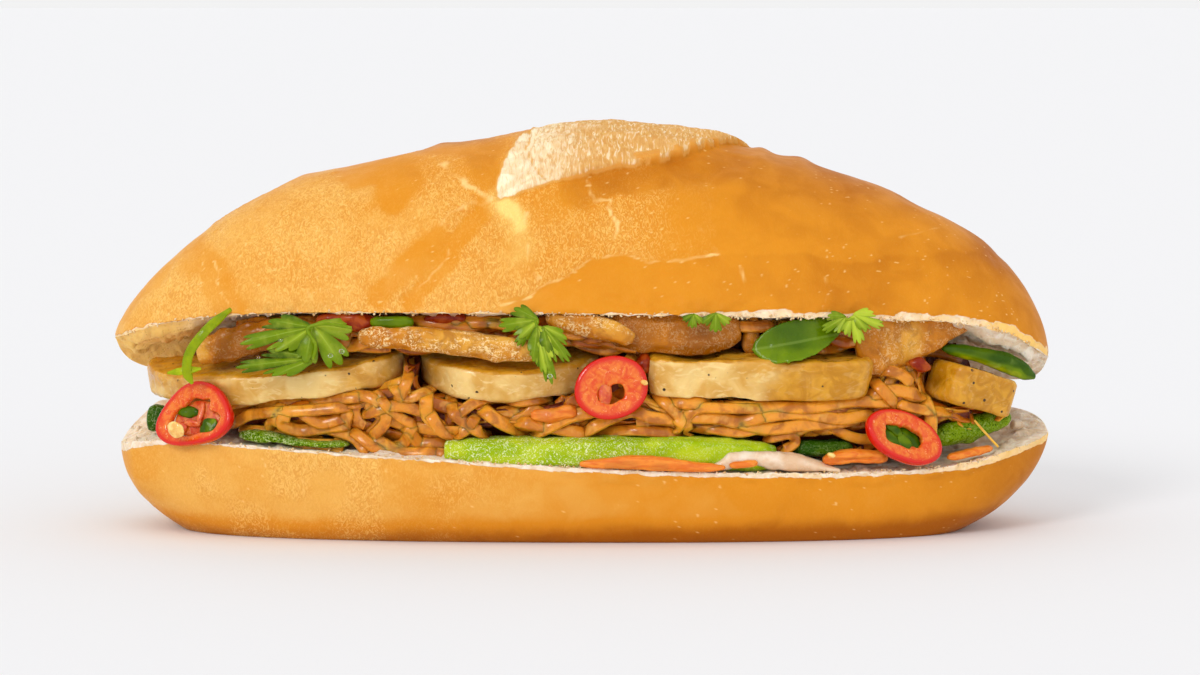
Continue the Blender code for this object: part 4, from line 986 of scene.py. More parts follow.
for k in range(1, 5):
    piece = pressed_copy(f"ham_slice_{k}", 0.5, 3) if k < 4 else pressed_copy("ham_slice_4", 0.4, 1)
    p, n = surface_of(piece)
    bumps = 0.60 * grain(p, 8.0, 400 + k) + 0.38 * grain(p * (0.6, 1.0, 1.0), 3.4, 410 + k) + 0.12 * grain(p * (0.5, 1.0, 1.0), 1.1, 420 + k)
    fold = ease(grain(p * (1.0, 0.4, 0.4), 4.2, 430 + k), 0.35, 0.7)
    bumps = (bumps - 0.5 * fold * (k == 3)) * (0.5 if k == 4 else 1.0)
    golden_top = ease(n[:, 2] + 0.35 * grain(p, 4.0, 440 + k), 0.1, 0.55)
    X = p[:, 0]
    if k == 1:
        p = p - (0.0, 2.0, 0.0)
        window = ease(X, -82.0, -73.0) * (1.0 - ease(X, -60.0, -52.0)) * (1.0 - golden_top)
        golden_top = np.maximum(golden_top, 0.55 - 0.55 * window + 0.2 * grain(p, 5.0, 450))
    elif k == 2:
        golden_top = np.maximum(golden_top, 0.55 * (1.0 - ease(X, -33.0, -27.0)) + 0.45 * ease(X, -2.0, 4.0))
    elif k == 3:
        golden_top = np.maximum(golden_top, 0.22 + 0.75 * ease(X, 32.0, 56.0) + 0.3 * grain(p, 4.5, 451))
    else:
        golden_top = 0.86 + 0.15 * golden_top + 0.1 * grain(p, 5.0, 452)
    worked(piece, p + n * bumps[:, None], {"age": np.clip(golden_top, 0.0, 1.0)})
    placed(piece, ham_finish, "vegetarian_ham", f"ham_slice_{k}")


# ==== Fried tofu ===================================================================
# Strips of tofu fried until their skins blister and turn gold to brown. They lie on the
# ham, under the upper half, and shine with oil.

tofu_finish, tree, shader = finish_for(
    "tofu_skin", Subsurface_Weight=0.15, Subsurface_Radius=(1.0, 0.5, 0.2), Subsurface_Scale=0.0015,
    Coat_Weight=0.28, Coat_Roughness=0.14, Specular_IOR_Level=0.1,
)
fry_and_shade, crisp_glint = painted(tree, "fry_and_shade"), painted(tree, "crisp_glint")
skin = mixed(tree, between(tree, fry_and_shade, 0.0, 0.5), tint(230, 170, 62), tint(198, 120, 12))
skin = mixed(tree, between(tree, fry_and_shade, 0.5, 1.0), skin, tint(150, 84, 0))
skin = mixed(tree, between(tree, cloudy(tree, 4.0, 3.0, 1.2), 0.42, 0.66, 0.0, 0.55), skin, tint(152, 84, 2))
# The pale flakes on the skin are painted highlights: glints of oil on its crisp blisters.
highlight_fleck = cloudy(tree, 1.1, 3.0, 2.5)
flake = sums(tree, "MULTIPLY", between(tree, highlight_fleck, 0.46, 0.62), between(tree, cloudy(tree, 3.4, 3.0, 1.0, (1.8, 1.0, 1.0)), 0.42, 0.58))
skin = mixed(tree, sums(tree, "MULTIPLY", flake, crisp_glint), skin, tint(252, 224, 166))
tree.links.new(skin, shader.inputs["Base Color"])
tree.links.new(between(tree, highlight_fleck, 0.3, 0.7, 0.45, 0.22), shader.inputs["Roughness"])
tree.links.new(relief(tree, highlight_fleck, 0.25, 0.7), shader.inputs["Normal"])
TOFU_SAG = ((62, -1.0), (66, -4.4), (72, -3.2), (79, -1.2), (85, 0.4), (92, 1.6))
TOFU_RISE = ((60, 1.8), (68, 3.4), (80, 3.2), (88, 2.4), (93, 1.6))
for k, (brown, blister_glint) in enumerate(((0.8, 0.15), (0.16, 0.8), (0.30, 0.6), (0.8, 0.2), (0.5, 0.2), (0.34, 0.35)), 1):
    piece = pressed_copy(f"fried_tofu_{k}", 0.4, 3)
    p, n = surface_of(piece)
    bumps = 0.45 * grain(p, 6.0, 500 + k) + 0.25 * grain(p, 2.4, 510 + k) + 0.14 * grain(p, 1.1, 520 + k)
    if k == 1:
        bumps = bumps + 0.9 * np.abs(grain(p * (1.0, 0.5, 0.35), 2.6, 530)) - 0.4
    # Faces that look down get more of the fried brown: painted shade on the underside.
    shade = brown + 0.28 * grain(p, 5.0, 540 + k) + 0.15 * (1.0 - ease(n[:, 2], -0.6, 0.1))
    if k == 1:
        shade = shade - 0.5 * (1.0 - ease(p[:, 0], -86.5, -83.5))
    if k == 4:
        p = (p - (35.6, 0.0, 47.4)) * (1.28, 1.0, 1.30) + (36.2, -1.6, 47.8)
    if k == 3:
        p[:, 2] += 1.2 * ease(p[:, 2], 47.0, 51.0)
    if k == 5:
        p[:, 2] = 47.4 + 1.6 * (p[:, 2] - 47.4)
    if k == 6:
        upper = ease(p[:, 2], 43.5, 49.0)
        p[:, 2] += through(TOFU_RISE, p[:, 0]) * upper
        p[:, 1] -= 1.0
        p[:, 2] += through(TOFU_SAG, p[:, 0]) * (1.0 - upper)
    if k == 2:
        shade = shade + 0.25 * (1.0 - ease(p[:, 0], -46.0, -38.0))
    worked(piece, p + n * bumps[:, None], {"fry_and_shade": np.clip(shade, 0.0, 1.0), "crisp_glint": blister_glint})
    placed(piece, tofu_finish, "fried_tofu", f"fried_tofu_{k}")


# ==== Red chilli ===================================================================
# Slices across a fresh red chilli, glossy outside and orange-red inside, pushed into the
# noodles on edge. Bits of membrane, seed and herb cling in their holes.

chilli_finish, tree, shader = finish_for(
    "fresh_chilli", Subsurface_Weight=0.3, Subsurface_Radius=(1.0, 0.25, 0.08), Subsurface_Scale=0.0015,
    Coat_Weight=0.6, Coat_Roughness=0.07, Specular_IOR_Level=0.12,
)
inward = painted(tree, "inward")
pulp = mixed(tree, between(tree, cloudy(tree, 1.8, 3.0, 1.2), 0.35, 0.65), tint(222, 74, 10), tint(232, 122, 36))
pulp = mixed(tree, between(tree, inward, 0.75, 1.9), tint(214, 36, 6), pulp)
pulp = mixed(tree, between(tree, inward, 0.10, 0.85), tint(212, 16, 4), pulp)
# Pale spots on the cut flesh are painted glints of its wet surface.
wet_glint = cloudy(tree, 0.8, 2.0, 1.8)
pulp = mixed(tree, sums(tree, "MULTIPLY", between(tree, wet_glint, 0.62, 0.7, 0.0, 0.5), between(tree, inward, 0.7, 1.4)), pulp, tint(250, 186, 130))
tree.links.new(pulp, shader.inputs["Base Color"])
tree.links.new(between(tree, inward, 0.2, 1.5, 0.12, 0.32), shader.inputs["Roughness"])
tree.links.new(relief(tree, wet_glint, 0.12, 0.5), shader.inputs["Normal"])


def slice_frame(place, turn):
    """Where a slice stands, from its (x, inset, z) and its (roll, pitch, yaw) in degrees."""
    x, inset, z = place
    roll, pitch, yaw = (math.radians(angle) for angle in turn)
    there = Matrix.Translation((x, float(-half_width(x)) + inset, z))
    return there @ Euler((pitch, roll, yaw)).to_matrix().to_4x4()


def pepper_ring(name, place, turn, radii, wall, width, uneven, corner, above, seed):
    """A ring of chilli flesh: its hole is smaller and more uneven than its skin."""
    there = np.array(slice_frame(place, turn))
    around = np.linspace(0.0, 2.0 * np.pi, 129)[:-1][:, None]
    section = np.linspace(0.0, 2.0 * np.pi, 29)[:-1][None, :]
    ring = np.concatenate([np.cos(around), np.sin(around), 0.0 * around], 1)
    bulge = 1.0 + 0.05 * np.sin(2.0 * around + 0.7) - corner * np.sin(3.0 * around) + 0.02 * grain(ring * 10.0, 5.0, seed)[:, None]
    thick = wall * (1.0 + uneven * grain(ring * 10.0, 4.5, seed + 1)[:, None] + above * np.sin(around))
    square = lambda v, power: np.sign(v) * np.abs(v) ** power
    inset = 0.5 * thick * (1.0 - square(np.cos(section), 0.5))
    height = 0.5 * width * square(np.sin(section), 0.55) * (1.0 - 0.25 * inset / np.maximum(thick, 1e-6))
    height = height * (1.0 + 0.10 * grain(np.broadcast_to(ring[:, None] * 10.0, (128, 28, 3)) + section[..., None], 3.0, seed + 2))
    u = (radii[0] * bulge - inset * radii[0] / max(radii)) * np.cos(around)
    v = (radii[1] * bulge - inset * radii[1] / max(radii)) * np.sin(around)
    flat = np.stack([u, v, height, np.ones_like(u)], -1)
    points = (flat @ there.T)[..., :3]
    verts = ((points.reshape(-1, 3) + (0.0, SHIFT_Y, 0.0)) * MM).tolist()
    i, j = np.meshgrid(np.arange(128), np.arange(28), indexing="ij")
    near, far = (i + 1) % 128, (j + 1) % 28
    quads = np.stack([i * 28 + j, i * 28 + far, near * 28 + far, near * 28 + j], -1).reshape(-1, 4)
    mesh = bpy.data.meshes.new(name)
    mesh.from_pydata(verts, [], quads.tolist())
    bm = bmesh.new()
    bm.from_mesh(mesh)
    bmesh.ops.recalc_face_normals(bm, faces=bm.faces)
    bm.to_mesh(mesh)
    bm.free()
    mesh.shade_smooth()
    mesh.attributes.new("inward", "FLOAT", "POINT").data.foreach_set("value", inset.astype(np.float32).ravel())
    obj = bpy.data.objects.new(name, mesh)
    bpy.context.scene.collection.objects.link(obj)
    return obj


def lump(name, centre, radii, turn, rough, size, seed, detail=4):
    """A small rounded lump, uneven by rough millimetres in bumps of that size."""
    bm = bmesh.new()
    bmesh.ops.create_icosphere(bm, subdivisions=detail, radius=1.0)
    turned = Euler([math.radians(angle) for angle in turn]).to_matrix()
    for vert in bm.verts:
        vert.co = turned @ Vector([c * r for c, r in zip(vert.co, radii)]) + Vector(centre)
    mesh = bpy.data.meshes.new(name)
    bm.to_mesh(mesh)
    bm.free()
    obj = bpy.data.objects.new(name, mesh)
    bpy.context.scene.collection.objects.link(obj)
    p = np.array([v.co for v in mesh.vertices])
    n = np.array([v.vector for v in mesh.vertex_normals])
    worked(obj, p + n * (rough * grain(p, size, seed))[:, None], {})
    mesh.shade_smooth()
    return obj


CHILLI_RINGS = (
    ((-88.5, -0.6, 28.6), (-8.0, 74.0, -26.0), (9.6, 7.6), 3.9, 2.6, 0.35, 0.08, 0.30),
    ((6.8, 1.5, 36.1), (0.0, 84.0, 4.0), (8.1, 7.5), 5.8, 2.4, 0.10, 0.0, 0.30),
    ((73.6, 0.5, 24.1), (26.0, 62.0, 14.0), (9.5, 6.3), 5.3, 2.6, 0.25, 0.0, 0.10),
)
for k, (place, turn, radii, wall, width, uneven, corner, above) in enumerate(CHILLI_RINGS, 1):
    piece = pepper_ring(f"chilli_ring_{k}_slice", place, turn, radii, wall, width, uneven, corner, above, 600 + 10 * k)
    placed(piece, chilli_finish, "red_chilli", f"chilli_ring_{k}")

seed_finish, tree, shader = finish_for(
    "pale_seed", Subsurface_Weight=0.4, Subsurface_Radius=(1.0, 0.7, 0.3), Subsurface_Scale=0.0015, Coat_Weight=0.4,
)
husk = mixed(tree, between(tree, cloudy(tree, 1.4, 2.0), 0.35, 0.65), tint(250, 214, 130), tint(232, 176, 84))
tree.links.new(husk, shader.inputs["Base Color"])
tree.links.new(between(tree, cloudy(tree, 0.9), 0.3, 0.7, 0.25, 0.4), shader.inputs["Roughness"])
for k, (centre, radii, turn) in enumerate((
    ((-92.6, -31.2, 25.8), (2.3, 0.8, 2.0), (10, 15, -25)),
    ((14.3, -40.2, 37.5), (0.9, 0.6, 0.6), (0, 20, 10)),
    ((-97.2, -23.5, 25.0), (1.0, 0.6, 0.9), (0, 0, -30)),
    ((56.8, -36.6, 20.6), (0.9, 0.7, 0.6), (0, 10, 0)),
), 1):
    piece = lump(f"chilli_seed_{k}", centre, radii, turn, 0.18, 1.2, 640 + k, 3)
    placed(piece, seed_finish, "red_chilli")

pepper_finish, tree, shader = finish_for("dark_pepper", Coat_Weight=0.2, Coat_Roughness=0.15, Specular_IOR_Level=0.12)
flesh = mixed(tree, between(tree, cloudy(tree, 2.0, 3.0), 0.35, 0.65), tint(132, 30, 2), tint(168, 70, 10))
tree.links.new(flesh, shader.inputs["Base Color"])
tree.links.new(between(tree, cloudy(tree, 1.0), 0.3, 0.7, 0.2, 0.4), shader.inputs["Roughness"])
for k, (centre, radii, turn) in enumerate((
    ((-53.0, -31.5, 50.8), (7.5, 2.2, 2.4), (0, 4, 0)),
    ((-31.0, -31.5, 51.0), (5.0, 2.0, 2.2), (0, -6, 0)),
    ((77.4, -28.8, 40.4), (3.0, 1.6, 1.5), (0, 18, 12)),
    ((14.2, -33.0, 41.0), (2.0, 2.0, 2.6), (0, 10, 0)),
), 1):
    piece = lump(f"pepper_bit_{k}", centre, radii, turn, 0.5, 2.2, 660 + k)
    placed(piece, pepper_finish, "red_chilli")

membrane_finish, tree, shader = finish_for(
    "chilli_membrane", Subsurface_Weight=0.4, Subsurface_Radius=(1.0, 0.4, 0.12), Subsurface_Scale=0.0015, Coat_Weight=0.3,
)
flesh = mixed(tree, between(tree, cloudy(tree, 1.8, 3.0, 1.0), 0.35, 0.65), tint(228, 122, 44), tint(206, 66, 14))
tree.links.new(flesh, shader.inputs["Base Color"])
tree.links.new(between(tree, cloudy(tree, 1.0), 0.3, 0.7, 0.25, 0.45), shader.inputs["Roughness"])
tree.links.new(relief(tree, cloudy(tree, 0.8, 2.0, 1.0), 0.2, 0.6), shader.inputs["Normal"])
for k, (ring, at, radii, angle) in enumerate((
    (0, (-1.0, -1.7, -0.2), (2.3, 0.8, 0.7), -10), (0, (1.4, 0.6, -0.2), (0.8, 2.6, 0.6), -12),
    (0, (-4.2, -2.6, -0.2), (2.0, 1.3, 0.7), 30), (1, (-1.5, -0.9, 0.0), (1.6, 3.6, 0.8), 4),
    (2, (3.2, -2.2, -0.1), (1.3, 1.1, 0.7), 20), (0, (0.0, -0.6, -1.1), (6.0, 4.4, 0.5), 0), 
), 1):
    place, turn = CHILLI_RINGS[ring][:2]
    there = slice_frame(place, turn) @ Matrix.Translation(at) @ Matrix.Rotation(math.radians(angle), 4, "Z")
    piece = lump(f"membrane_{k}", (0, 0, 0), radii, (0, 0, 0), 0.22, 1.5, 680 + k)
    p = np.array([there @ Vector(v) for v in surface_of(piece)[0]])
    worked(piece, p, {})
    placed(piece, membrane_finish, "red_chilli")


# ==== Greens =======================================================================
# Spring onion, a glossy basil leaf, a bean pod and a rolled leaf, tucked in under the
# upper half. They are thin, lightly oiled, and darker where they fold.

herb_finish, tree, shader = finish_for(
    "oiled_leaf", Subsurface_Weight=0.2, Subsurface_Radius=(0.5, 1.0, 0.2), Subsurface_Scale=0.001,
    Coat_Weight=0.18, Coat_Roughness=0.08, Specular_IOR_Level=0.06,
)
tone, vein_and_highlight = painted(tree, "tone"), painted(tree, "vein_and_highlight")
green = mixed(tree, between(tree, tone, 0.0, 0.5), tint(172, 184, 10), tint(112, 138, 2))
green = mixed(tree, between(tree, tone, 0.5, 1.0), green, tint(50, 82, 0))
green = mixed(tree, between(tree, cloudy(tree, 3.0, 3.0), 0.4, 0.7, 0.0, 0.45), green, tint(76, 108, 0))
# The pale vein colour marks real veins on the leaves and painted highlight streaks on the pod.
green = mixed(tree, between(tree, vein_and_highlight, 0.2, 1.0, 0.0, 0.55), green, tint(172, 196, 96))
tree.links.new(green, shader.inputs["Base Color"])
tree.links.new(between(tree, cloudy(tree, 1.6, 2.0), 0.3, 0.7, 0.2, 0.42), shader.inputs["Roughness"])
tree.links.new(relief(tree, cloudy(tree, 0.9, 2.0), 0.12, 0.5), shader.inputs["Normal"])
for node, shade, seed in (("green_leaf", 0.78, 700), ("rolled_leaf", 0.7, 701), ("green_pod", 0.5, 703)):
    piece = pressed_copy(node, 0.3, 3)
    p, n = surface_of(piece)
    bumps = 0.12 * grain(p, 3.0, seed) + 0.05 * grain(p, 1.2, seed + 10)
    mark = shade + 0.15 * grain(p, 4.0, seed + 20)
    light = np.zeros(len(p))
    if node == "green_pod":
        across = p[:, 2] - (43.6 - 0.335 * (p[:, 0] - 83.0))
        p[:, 2] += 0.5 * across * ease(p[:, 0], 92.0, 101.0)
        mark = 0.95 - 0.8 * np.exp(-(((across + 0.5) / 0.9) ** 2)) * ease(p[:, 0], 84.0, 89.0) + 0.5 * ease(p[:, 0], 101.5, 104.0)
        mark = mark + 0.18 * grain(p * (0.4, 1.0, 1.0), 1.8, 731)
        # The pale streaks painted along the pod are painted highlights.
        light = 0.8 * (1.0 - ease(p[:, 0], 99.0, 103.0)) * ease(grain(p * (0.3, 1.0, 1.0), 1.5, 730), 0.0, 0.5)
    if node == "rolled_leaf":
        p = p + (1.0, -5.5, 0.8)
    if node == "green_leaf":
        p[:, 2] += (0.28 + 0.35 * (1.0 - ease(p[:, 0], 39.0, 50.0))) * (p[:, 2] - 46.8)
        rib = np.abs(p[:, 2] - (46.2 + 0.17 * (p[:, 0] - 49.0)))
        light = 0.5 * ease(0.6 - rib, 0.0, 0.4)
        mark = mark - 0.2 * (1.0 - ease(p[:, 2], 43.5, 45.5))
    worked(piece, p + n * bumps[:, None], {"tone": np.clip(mark, 0, 1), "vein_and_highlight": light})
    placed(piece, herb_finish, "green_leaf", node)

# The spring onion is one flat blade, bent over, with a scrap of its sheath beside it.
blades = wire_of("spring_onion_blade", [
    thread(((-79.6, -27.0, 53.6), (-84.6, -33.0, 49.4), (-88.9, -33.2, 44.0), (-89.8, -32.6, 39.4), (-88.6, -32.2, 36.4)), 30, 1.0, 0.25),
    thread(((-86.6, -32.0, 39.9), (-90.4, -32.4, 39.4), (-94.4, -31.2, 38.8)), 16, 0.8, 0.1),
], 0.3)
blades.data.attributes.new("vein_and_highlight", "FLOAT", "POINT")
drawn(blades, flat_strand, Width=2.3 * MM, Thickness=0.6 * MM, Sides=10, Material=herb_finish)
placed(blades, herb_finish, "green_leaf", "spring_onion")

# Scraps of herb sit in the holes of the chilli slices.
for k, (ring, at, radii, angle) in enumerate((
    (0, (-2.6, 1.2, -0.5), (3.2, 1.3, 0.6), -14), (0, (3.4, -2.9, -0.4), (2.6, 2.0, 0.6), 20),
    (2, (-2.9, 1.3, -0.6), (2.4, 1.2, 0.6), -20), (2, (1.0, -1.0, -0.6), (2.6, 1.5, 0.6), -40), (2, (0.0, 0.0, -1.2), (5.4, 3.0, 0.5), 0),
), 1):
    there = slice_frame(*CHILLI_RINGS[ring][:2]) @ Matrix.Translation(at) @ Matrix.Rotation(math.radians(angle), 4, "Z")
    piece = lump(f"herb_scrap_{k}", (0, 0, 0), radii, (0, 0, 0), 0.4, 1.6, 770 + k)
    p = surface_of(piece)[0]
    shade = np.clip(0.85 + 0.4 * grain(p, 1.5, 775 + k), 0.0, 1.0)
    worked(piece, np.array([there @ Vector(v) for v in p]), {"tone": shade, "vein_and_highlight": 0.0})
    placed(piece, herb_finish, "green_leaf")

onion_finish, tree, shader = finish_for(
    "raw_onion", Subsurface_Weight=0.5, Subsurface_Radius=(1.0, 0.8, 0.6), Subsurface_Scale=0.002, Coat_Weight=0.3,
)
pulp = mixed(tree, between(tree, cloudy(tree, 1.8, 2.0), 0.35, 0.65), tint(226, 206, 178), tint(200, 170, 136))
tree.links.new(pulp, shader.inputs["Base Color"])
tree.links.new(between(tree, cloudy(tree, 1.1), 0.3, 0.7, 0.2, 0.4), shader.inputs["Roughness"])
piece = pressed_copy("onion_strip", 0.25, 3)
p, n = surface_of(piece)
worked(piece, p + n * (0.15 * grain(p, 1.8, 750))[:, None], {})
placed(piece, onion_finish, "onion", "onion_strip")


# ==== Coriander ====================================================================
# Sprigs of fresh coriander laid on last, so they hang out over the tofu and the ham. Each
# leaflet is one thin blade with rounded teeth, and droplets of water stand on some.

coriander_finish, tree, shader = finish_for(
    "fresh_coriander", Subsurface_Weight=0.2, Subsurface_Radius=(0.5, 1.0, 0.2), Subsurface_Scale=0.001,
    Coat_Weight=0.12, Coat_Roughness=0.15, Specular_IOR_Level=0.1,
)
tone, vein_and_highlight = painted(tree, "tone"), painted(tree, "vein_and_highlight")
green = mixed(tree, between(tree, tone, 0.0, 0.5), tint(178, 196, 50), tint(110, 136, 0))
green = mixed(tree, between(tree, tone, 0.5, 1.0), green, tint(54, 82, 0))
green = mixed(tree, between(tree, cloudy(tree, 2.4, 3.0), 0.45, 0.7, 0.0, 0.35), green, tint(166, 176, 56))
green = mixed(tree, between(tree, vein_and_highlight, 0.3, 1.0, 0.0, 0.35), green, tint(182, 204, 90))
tree.links.new(green, shader.inputs["Base Color"])
tree.links.new(between(tree, cloudy(tree, 1.6, 2.0), 0.3, 0.7, 0.25, 0.5), shader.inputs["Roughness"])
tree.links.new(relief(tree, vein_and_highlight, 0.15, 0.5), shader.inputs["Normal"])


def leaflet(name, foot, tip, breadth, inset, curl, tone, seed):
    """One fan of three toothed lobes. foot and tip are (x, z), inset is how far behind the lip it springs."""
    length = math.hypot(tip[0] - foot[0], tip[1] - foot[1])
    grow = Vector((tip[0] - foot[0], -0.22 * length, tip[1] - foot[1])).normalized()
    face = Vector((0.12, -1.0, 0.3))
    face = (face - grow * face.dot(grow)).normalized()
    turn = np.array([grow.cross(face), grow, face])
    angle = np.linspace(-1.5, 1.5, 181)[:, None]
    lobe = np.clip(np.round(angle / 0.86), -1, 1)
    across = (angle - 0.86 * lobe) / 0.43
    reach = (1.0 - 0.16 * np.abs(lobe)) * (1.0 - 0.42 * np.clip(np.abs(across), 0.0, 1.0) ** 5)
    reach = reach * (0.80 + 0.20 * np.abs(np.cos(1.5 * np.pi * across)) ** 0.7) * (1.0 - 0.75 * ease(np.abs(angle), 1.2, 1.5))
    share = np.linspace(0.0, 1.0, 15)[None, 1:] ** 0.8
    radius = length * reach * share
    u, v = radius * np.sin(angle) * breadth, radius * np.cos(angle)
    lift = 0.022 * radius * np.cos(angle * 7.3) - curl * length * (0.4 * (v / length) ** 2 + 0.5 * (u / length) ** 2)
    flat = np.stack([u, v, lift], -1)
    flat[..., 2] += 0.35 * grain(flat + seed, 2.6, seed)
    start = np.array((foot[0], float(-half_width(np.array(foot[0]))) + inset, foot[1]))
    points = np.concatenate([start[None], (flat @ turn + start).reshape(-1, 3)]) + (0.0, SHIFT_Y, 0.0)
    count = share.shape[1]
    faces = [(0, 1 + (i + 1) * count, 1 + i * count) for i in range(180)]
    faces += [(1 + i * count + j, 1 + (i + 1) * count + j, 2 + (i + 1) * count + j, 2 + i * count + j) for i in range(180) for j in range(count - 1)]
    mesh = bpy.data.meshes.new(name)
    mesh.from_pydata((points * MM).tolist(), [], faces)
    veins = np.exp(-((across / 0.12) ** 2)) * (1.0 - share) ** 0.4
    shade = np.clip(tone + 0.3 * (share - 0.5) - 0.12 * np.cos(np.pi * across) + 0.15 * lobe, 0.0, 1.0)
    for mark, values in (("vein_and_highlight", veins), ("tone", shade)):
        paint = np.concatenate([[tone], (values * np.ones_like(radius)).ravel()]).astype(np.float32)
        mesh.attributes.new(mark, "FLOAT", "POINT").data.foreach_set("value", paint)
    obj = bpy.data.objects.new(name, mesh)
    bpy.context.scene.collection.objects.link(obj)
    blade = obj.modifiers.new("blade", "SOLIDIFY")
    blade.thickness, blade.offset = 0.28 * MM, 0.0
    obj.data = bpy.data.meshes.new_from_object(obj.evaluated_get(bpy.context.evaluated_depsgraph_get()))
    obj.modifiers.clear()
    obj.data.shade_smooth()
    placed(obj, coriander_finish, "green_leaf")


for k, (foot, tip, breadth, inset, curl, tone) in enumerate((
    ((-61.0, 49.6), (-77.2, 46.6), 0.36, -0.2, 0.5, 0.55),
    ((-60.4, 42.6), (-78.2, 41.2), 0.27, -0.8, 0.3, 0.66), ((-60.8, 50.2), (-54.0, 41.6), 0.95, -0.2, 0.5, 0.42),
    ((-9.6, 51.6), (-18.6, 50.6), 0.62, 1.0, 0.4, 0.46), ((-11.0, 51.4), (-14.4, 45.8), 0.60, 0.6, 0.3, 0.52),
    ((-9.8, 50.4), (-6.2, 37.4), 0.36, -0.4, 0.4, 0.40), ((-8.6, 50.2), (-2.4, 42.6), 0.44, -0.2, 0.5, 0.50),
    ((-9.4, 47.0), (-7.8, 39.6), 0.50, -1.0, 0.3, 0.24), ((25.4, 53.0), (25.0, 49.8), 1.10, 0.2, 0.4, 0.55),
    ((30.4, 53.2), (30.4, 48.8), 1.10, 0.2, 0.4, 0.50), ((60.0, 52.0), (54.6, 49.0), 0.60, 0.6, 0.4, 0.42),
    ((61.4, 52.2), (63.4, 46.0), 0.70, 0.0, 0.5, 0.06), ((61.6, 52.4), (68.6, 50.2), 0.50, 0.2, 0.5, 0.14),
), 1):
    leaflet(f"coriander_leaflet_{k}", foot, tip, breadth, inset, curl, tone, 800 + k)

stalks = wire_of("coriander_stalks", [
    thread(((-52.0, -36.0, 49.6), (-58.0, -37.2, 50.6), (-62.0, -37.0, 49.4), (-60.0, -38.0, 46.0), (-60.6, -38.2, 42.6)), 30, 1.0, 0.45),
    thread(((-13.5, -36.0, 53.2), (-10.4, -39.0, 51.4), (-9.6, -40.6, 47.0), (-8.6, -41.4, 42.6)), 26, 1.0, 0.45),
    thread(((66.0, -31.0, 52.4), (63.0, -34.6, 51.6), (60.0, -35.4, 51.4)), 16, 1.0, 0.3),
])
stalks.data.attributes.new("vein_and_highlight", "FLOAT", "POINT")
drawn(stalks, flat_strand, Width=0.8 * MM, Thickness=0.7 * MM, Sides=8, Material=coriander_finish)
placed(stalks, coriander_finish, "green_leaf")

water_finish, tree, shader = finish_for("water_drop", Transmission_Weight=1.0, IOR=1.33, Roughness=0.02)
shader.inputs["Base Color"].default_value = (0.95, 0.98, 1.0, 1.0)
for k, (centre, radius) in enumerate((
    ((-56.6, -40.0, 43.6), 0.5), ((-54.0, -40.4, 44.6), 0.5), ((-70.4, -37.0, 42.2), 0.5),
    ((-73.2, -36.4, 42.8), 0.4), ((-68.0, -37.4, 46.8), 0.35), ((-7.0, -42.6, 39.2), 0.5),
), 1):
    piece = lump(f"water_drop_{k}", centre, (radius * 1.2, radius * 0.7, radius), (0, 0, 0), 0.05, 0.5, 860 + k, 3)
    placed(piece, water_finish, "green_leaf")


# ==== Mayonnaise and crumbs ========================================================
# A smear of mayonnaise squeezed out over the lower lip at the right, and the crumbs that
# the knife left along both lips.

mayo_finish, tree, shader = finish_for(
    "mayonnaise", Subsurface_Weight=0.5, Subsurface_Radius=(1.0, 0.8, 0.6), Subsurface_Scale=0.002,
    Coat_Weight=0.4, Coat_Roughness=0.1,
)
cream = mixed(tree, between(tree, cloudy(tree, 5.0, 3.0), 0.35, 0.65), tint(240, 222, 200), tint(222, 186, 148))
tree.links.new(cream, shader.inputs["Base Color"])
tree.links.new(between(tree, cloudy(tree, 2.0), 0.3, 0.7, 0.18, 0.35), shader.inputs["Roughness"])
tree.links.new(relief(tree, cloudy(tree, 1.5, 2.0, 1.0), 0.2, 0.5), shader.inputs["Normal"])
MAYO_TOP = ((27.0, 17.6), (31.0, 19.4), (33.5, 21.2), (40.0, 21.2), (47.0, 20.6), (53.0, 19.0), (59.0, 17.0))
MAYO_FOOT = ((27.0, 17.0), (33.0, 17.6), (36.0, 18.6), (41.0, 18.0), (48.0, 16.9), (59.0, 16.3))
x = np.linspace(27.2, 58.8, 90)[:, None]
around = np.linspace(0.0, 2.0 * np.pi, 41)[:-1][None, :]
high, low = through(MAYO_TOP, x), through(MAYO_FOOT, x)
body = np.clip(1.0 - np.abs((x - 43.0) / 16.0) ** 5, 0.02, 1.0) ** 0.5
y = -half_width(x) + 1.4 - 0.9 * body * np.cos(around) + 1.6 * (1 - np.cos(around)) * 0.9
z = 0.5 * (high + low) + 0.5 * (high - low + 0.8) * body * np.sin(around)
points = np.stack([np.broadcast_to(x, y.shape), y, z], -1)
points += outward(points, closed=True) * (0.3 * grain(points, 3.2, 900) + 0.12 * grain(points, 1.3, 901))[..., None]
tips = [(float(x[end, 0]) + push, *points[end, :, 1:].mean(0)) for end, push in ((0, -0.3), (-1, 0.3))]
mayo = rows_solid("mayonnaise_smear", points, tips, {})
placed(mayo, mayo_finish, "bread_crust")


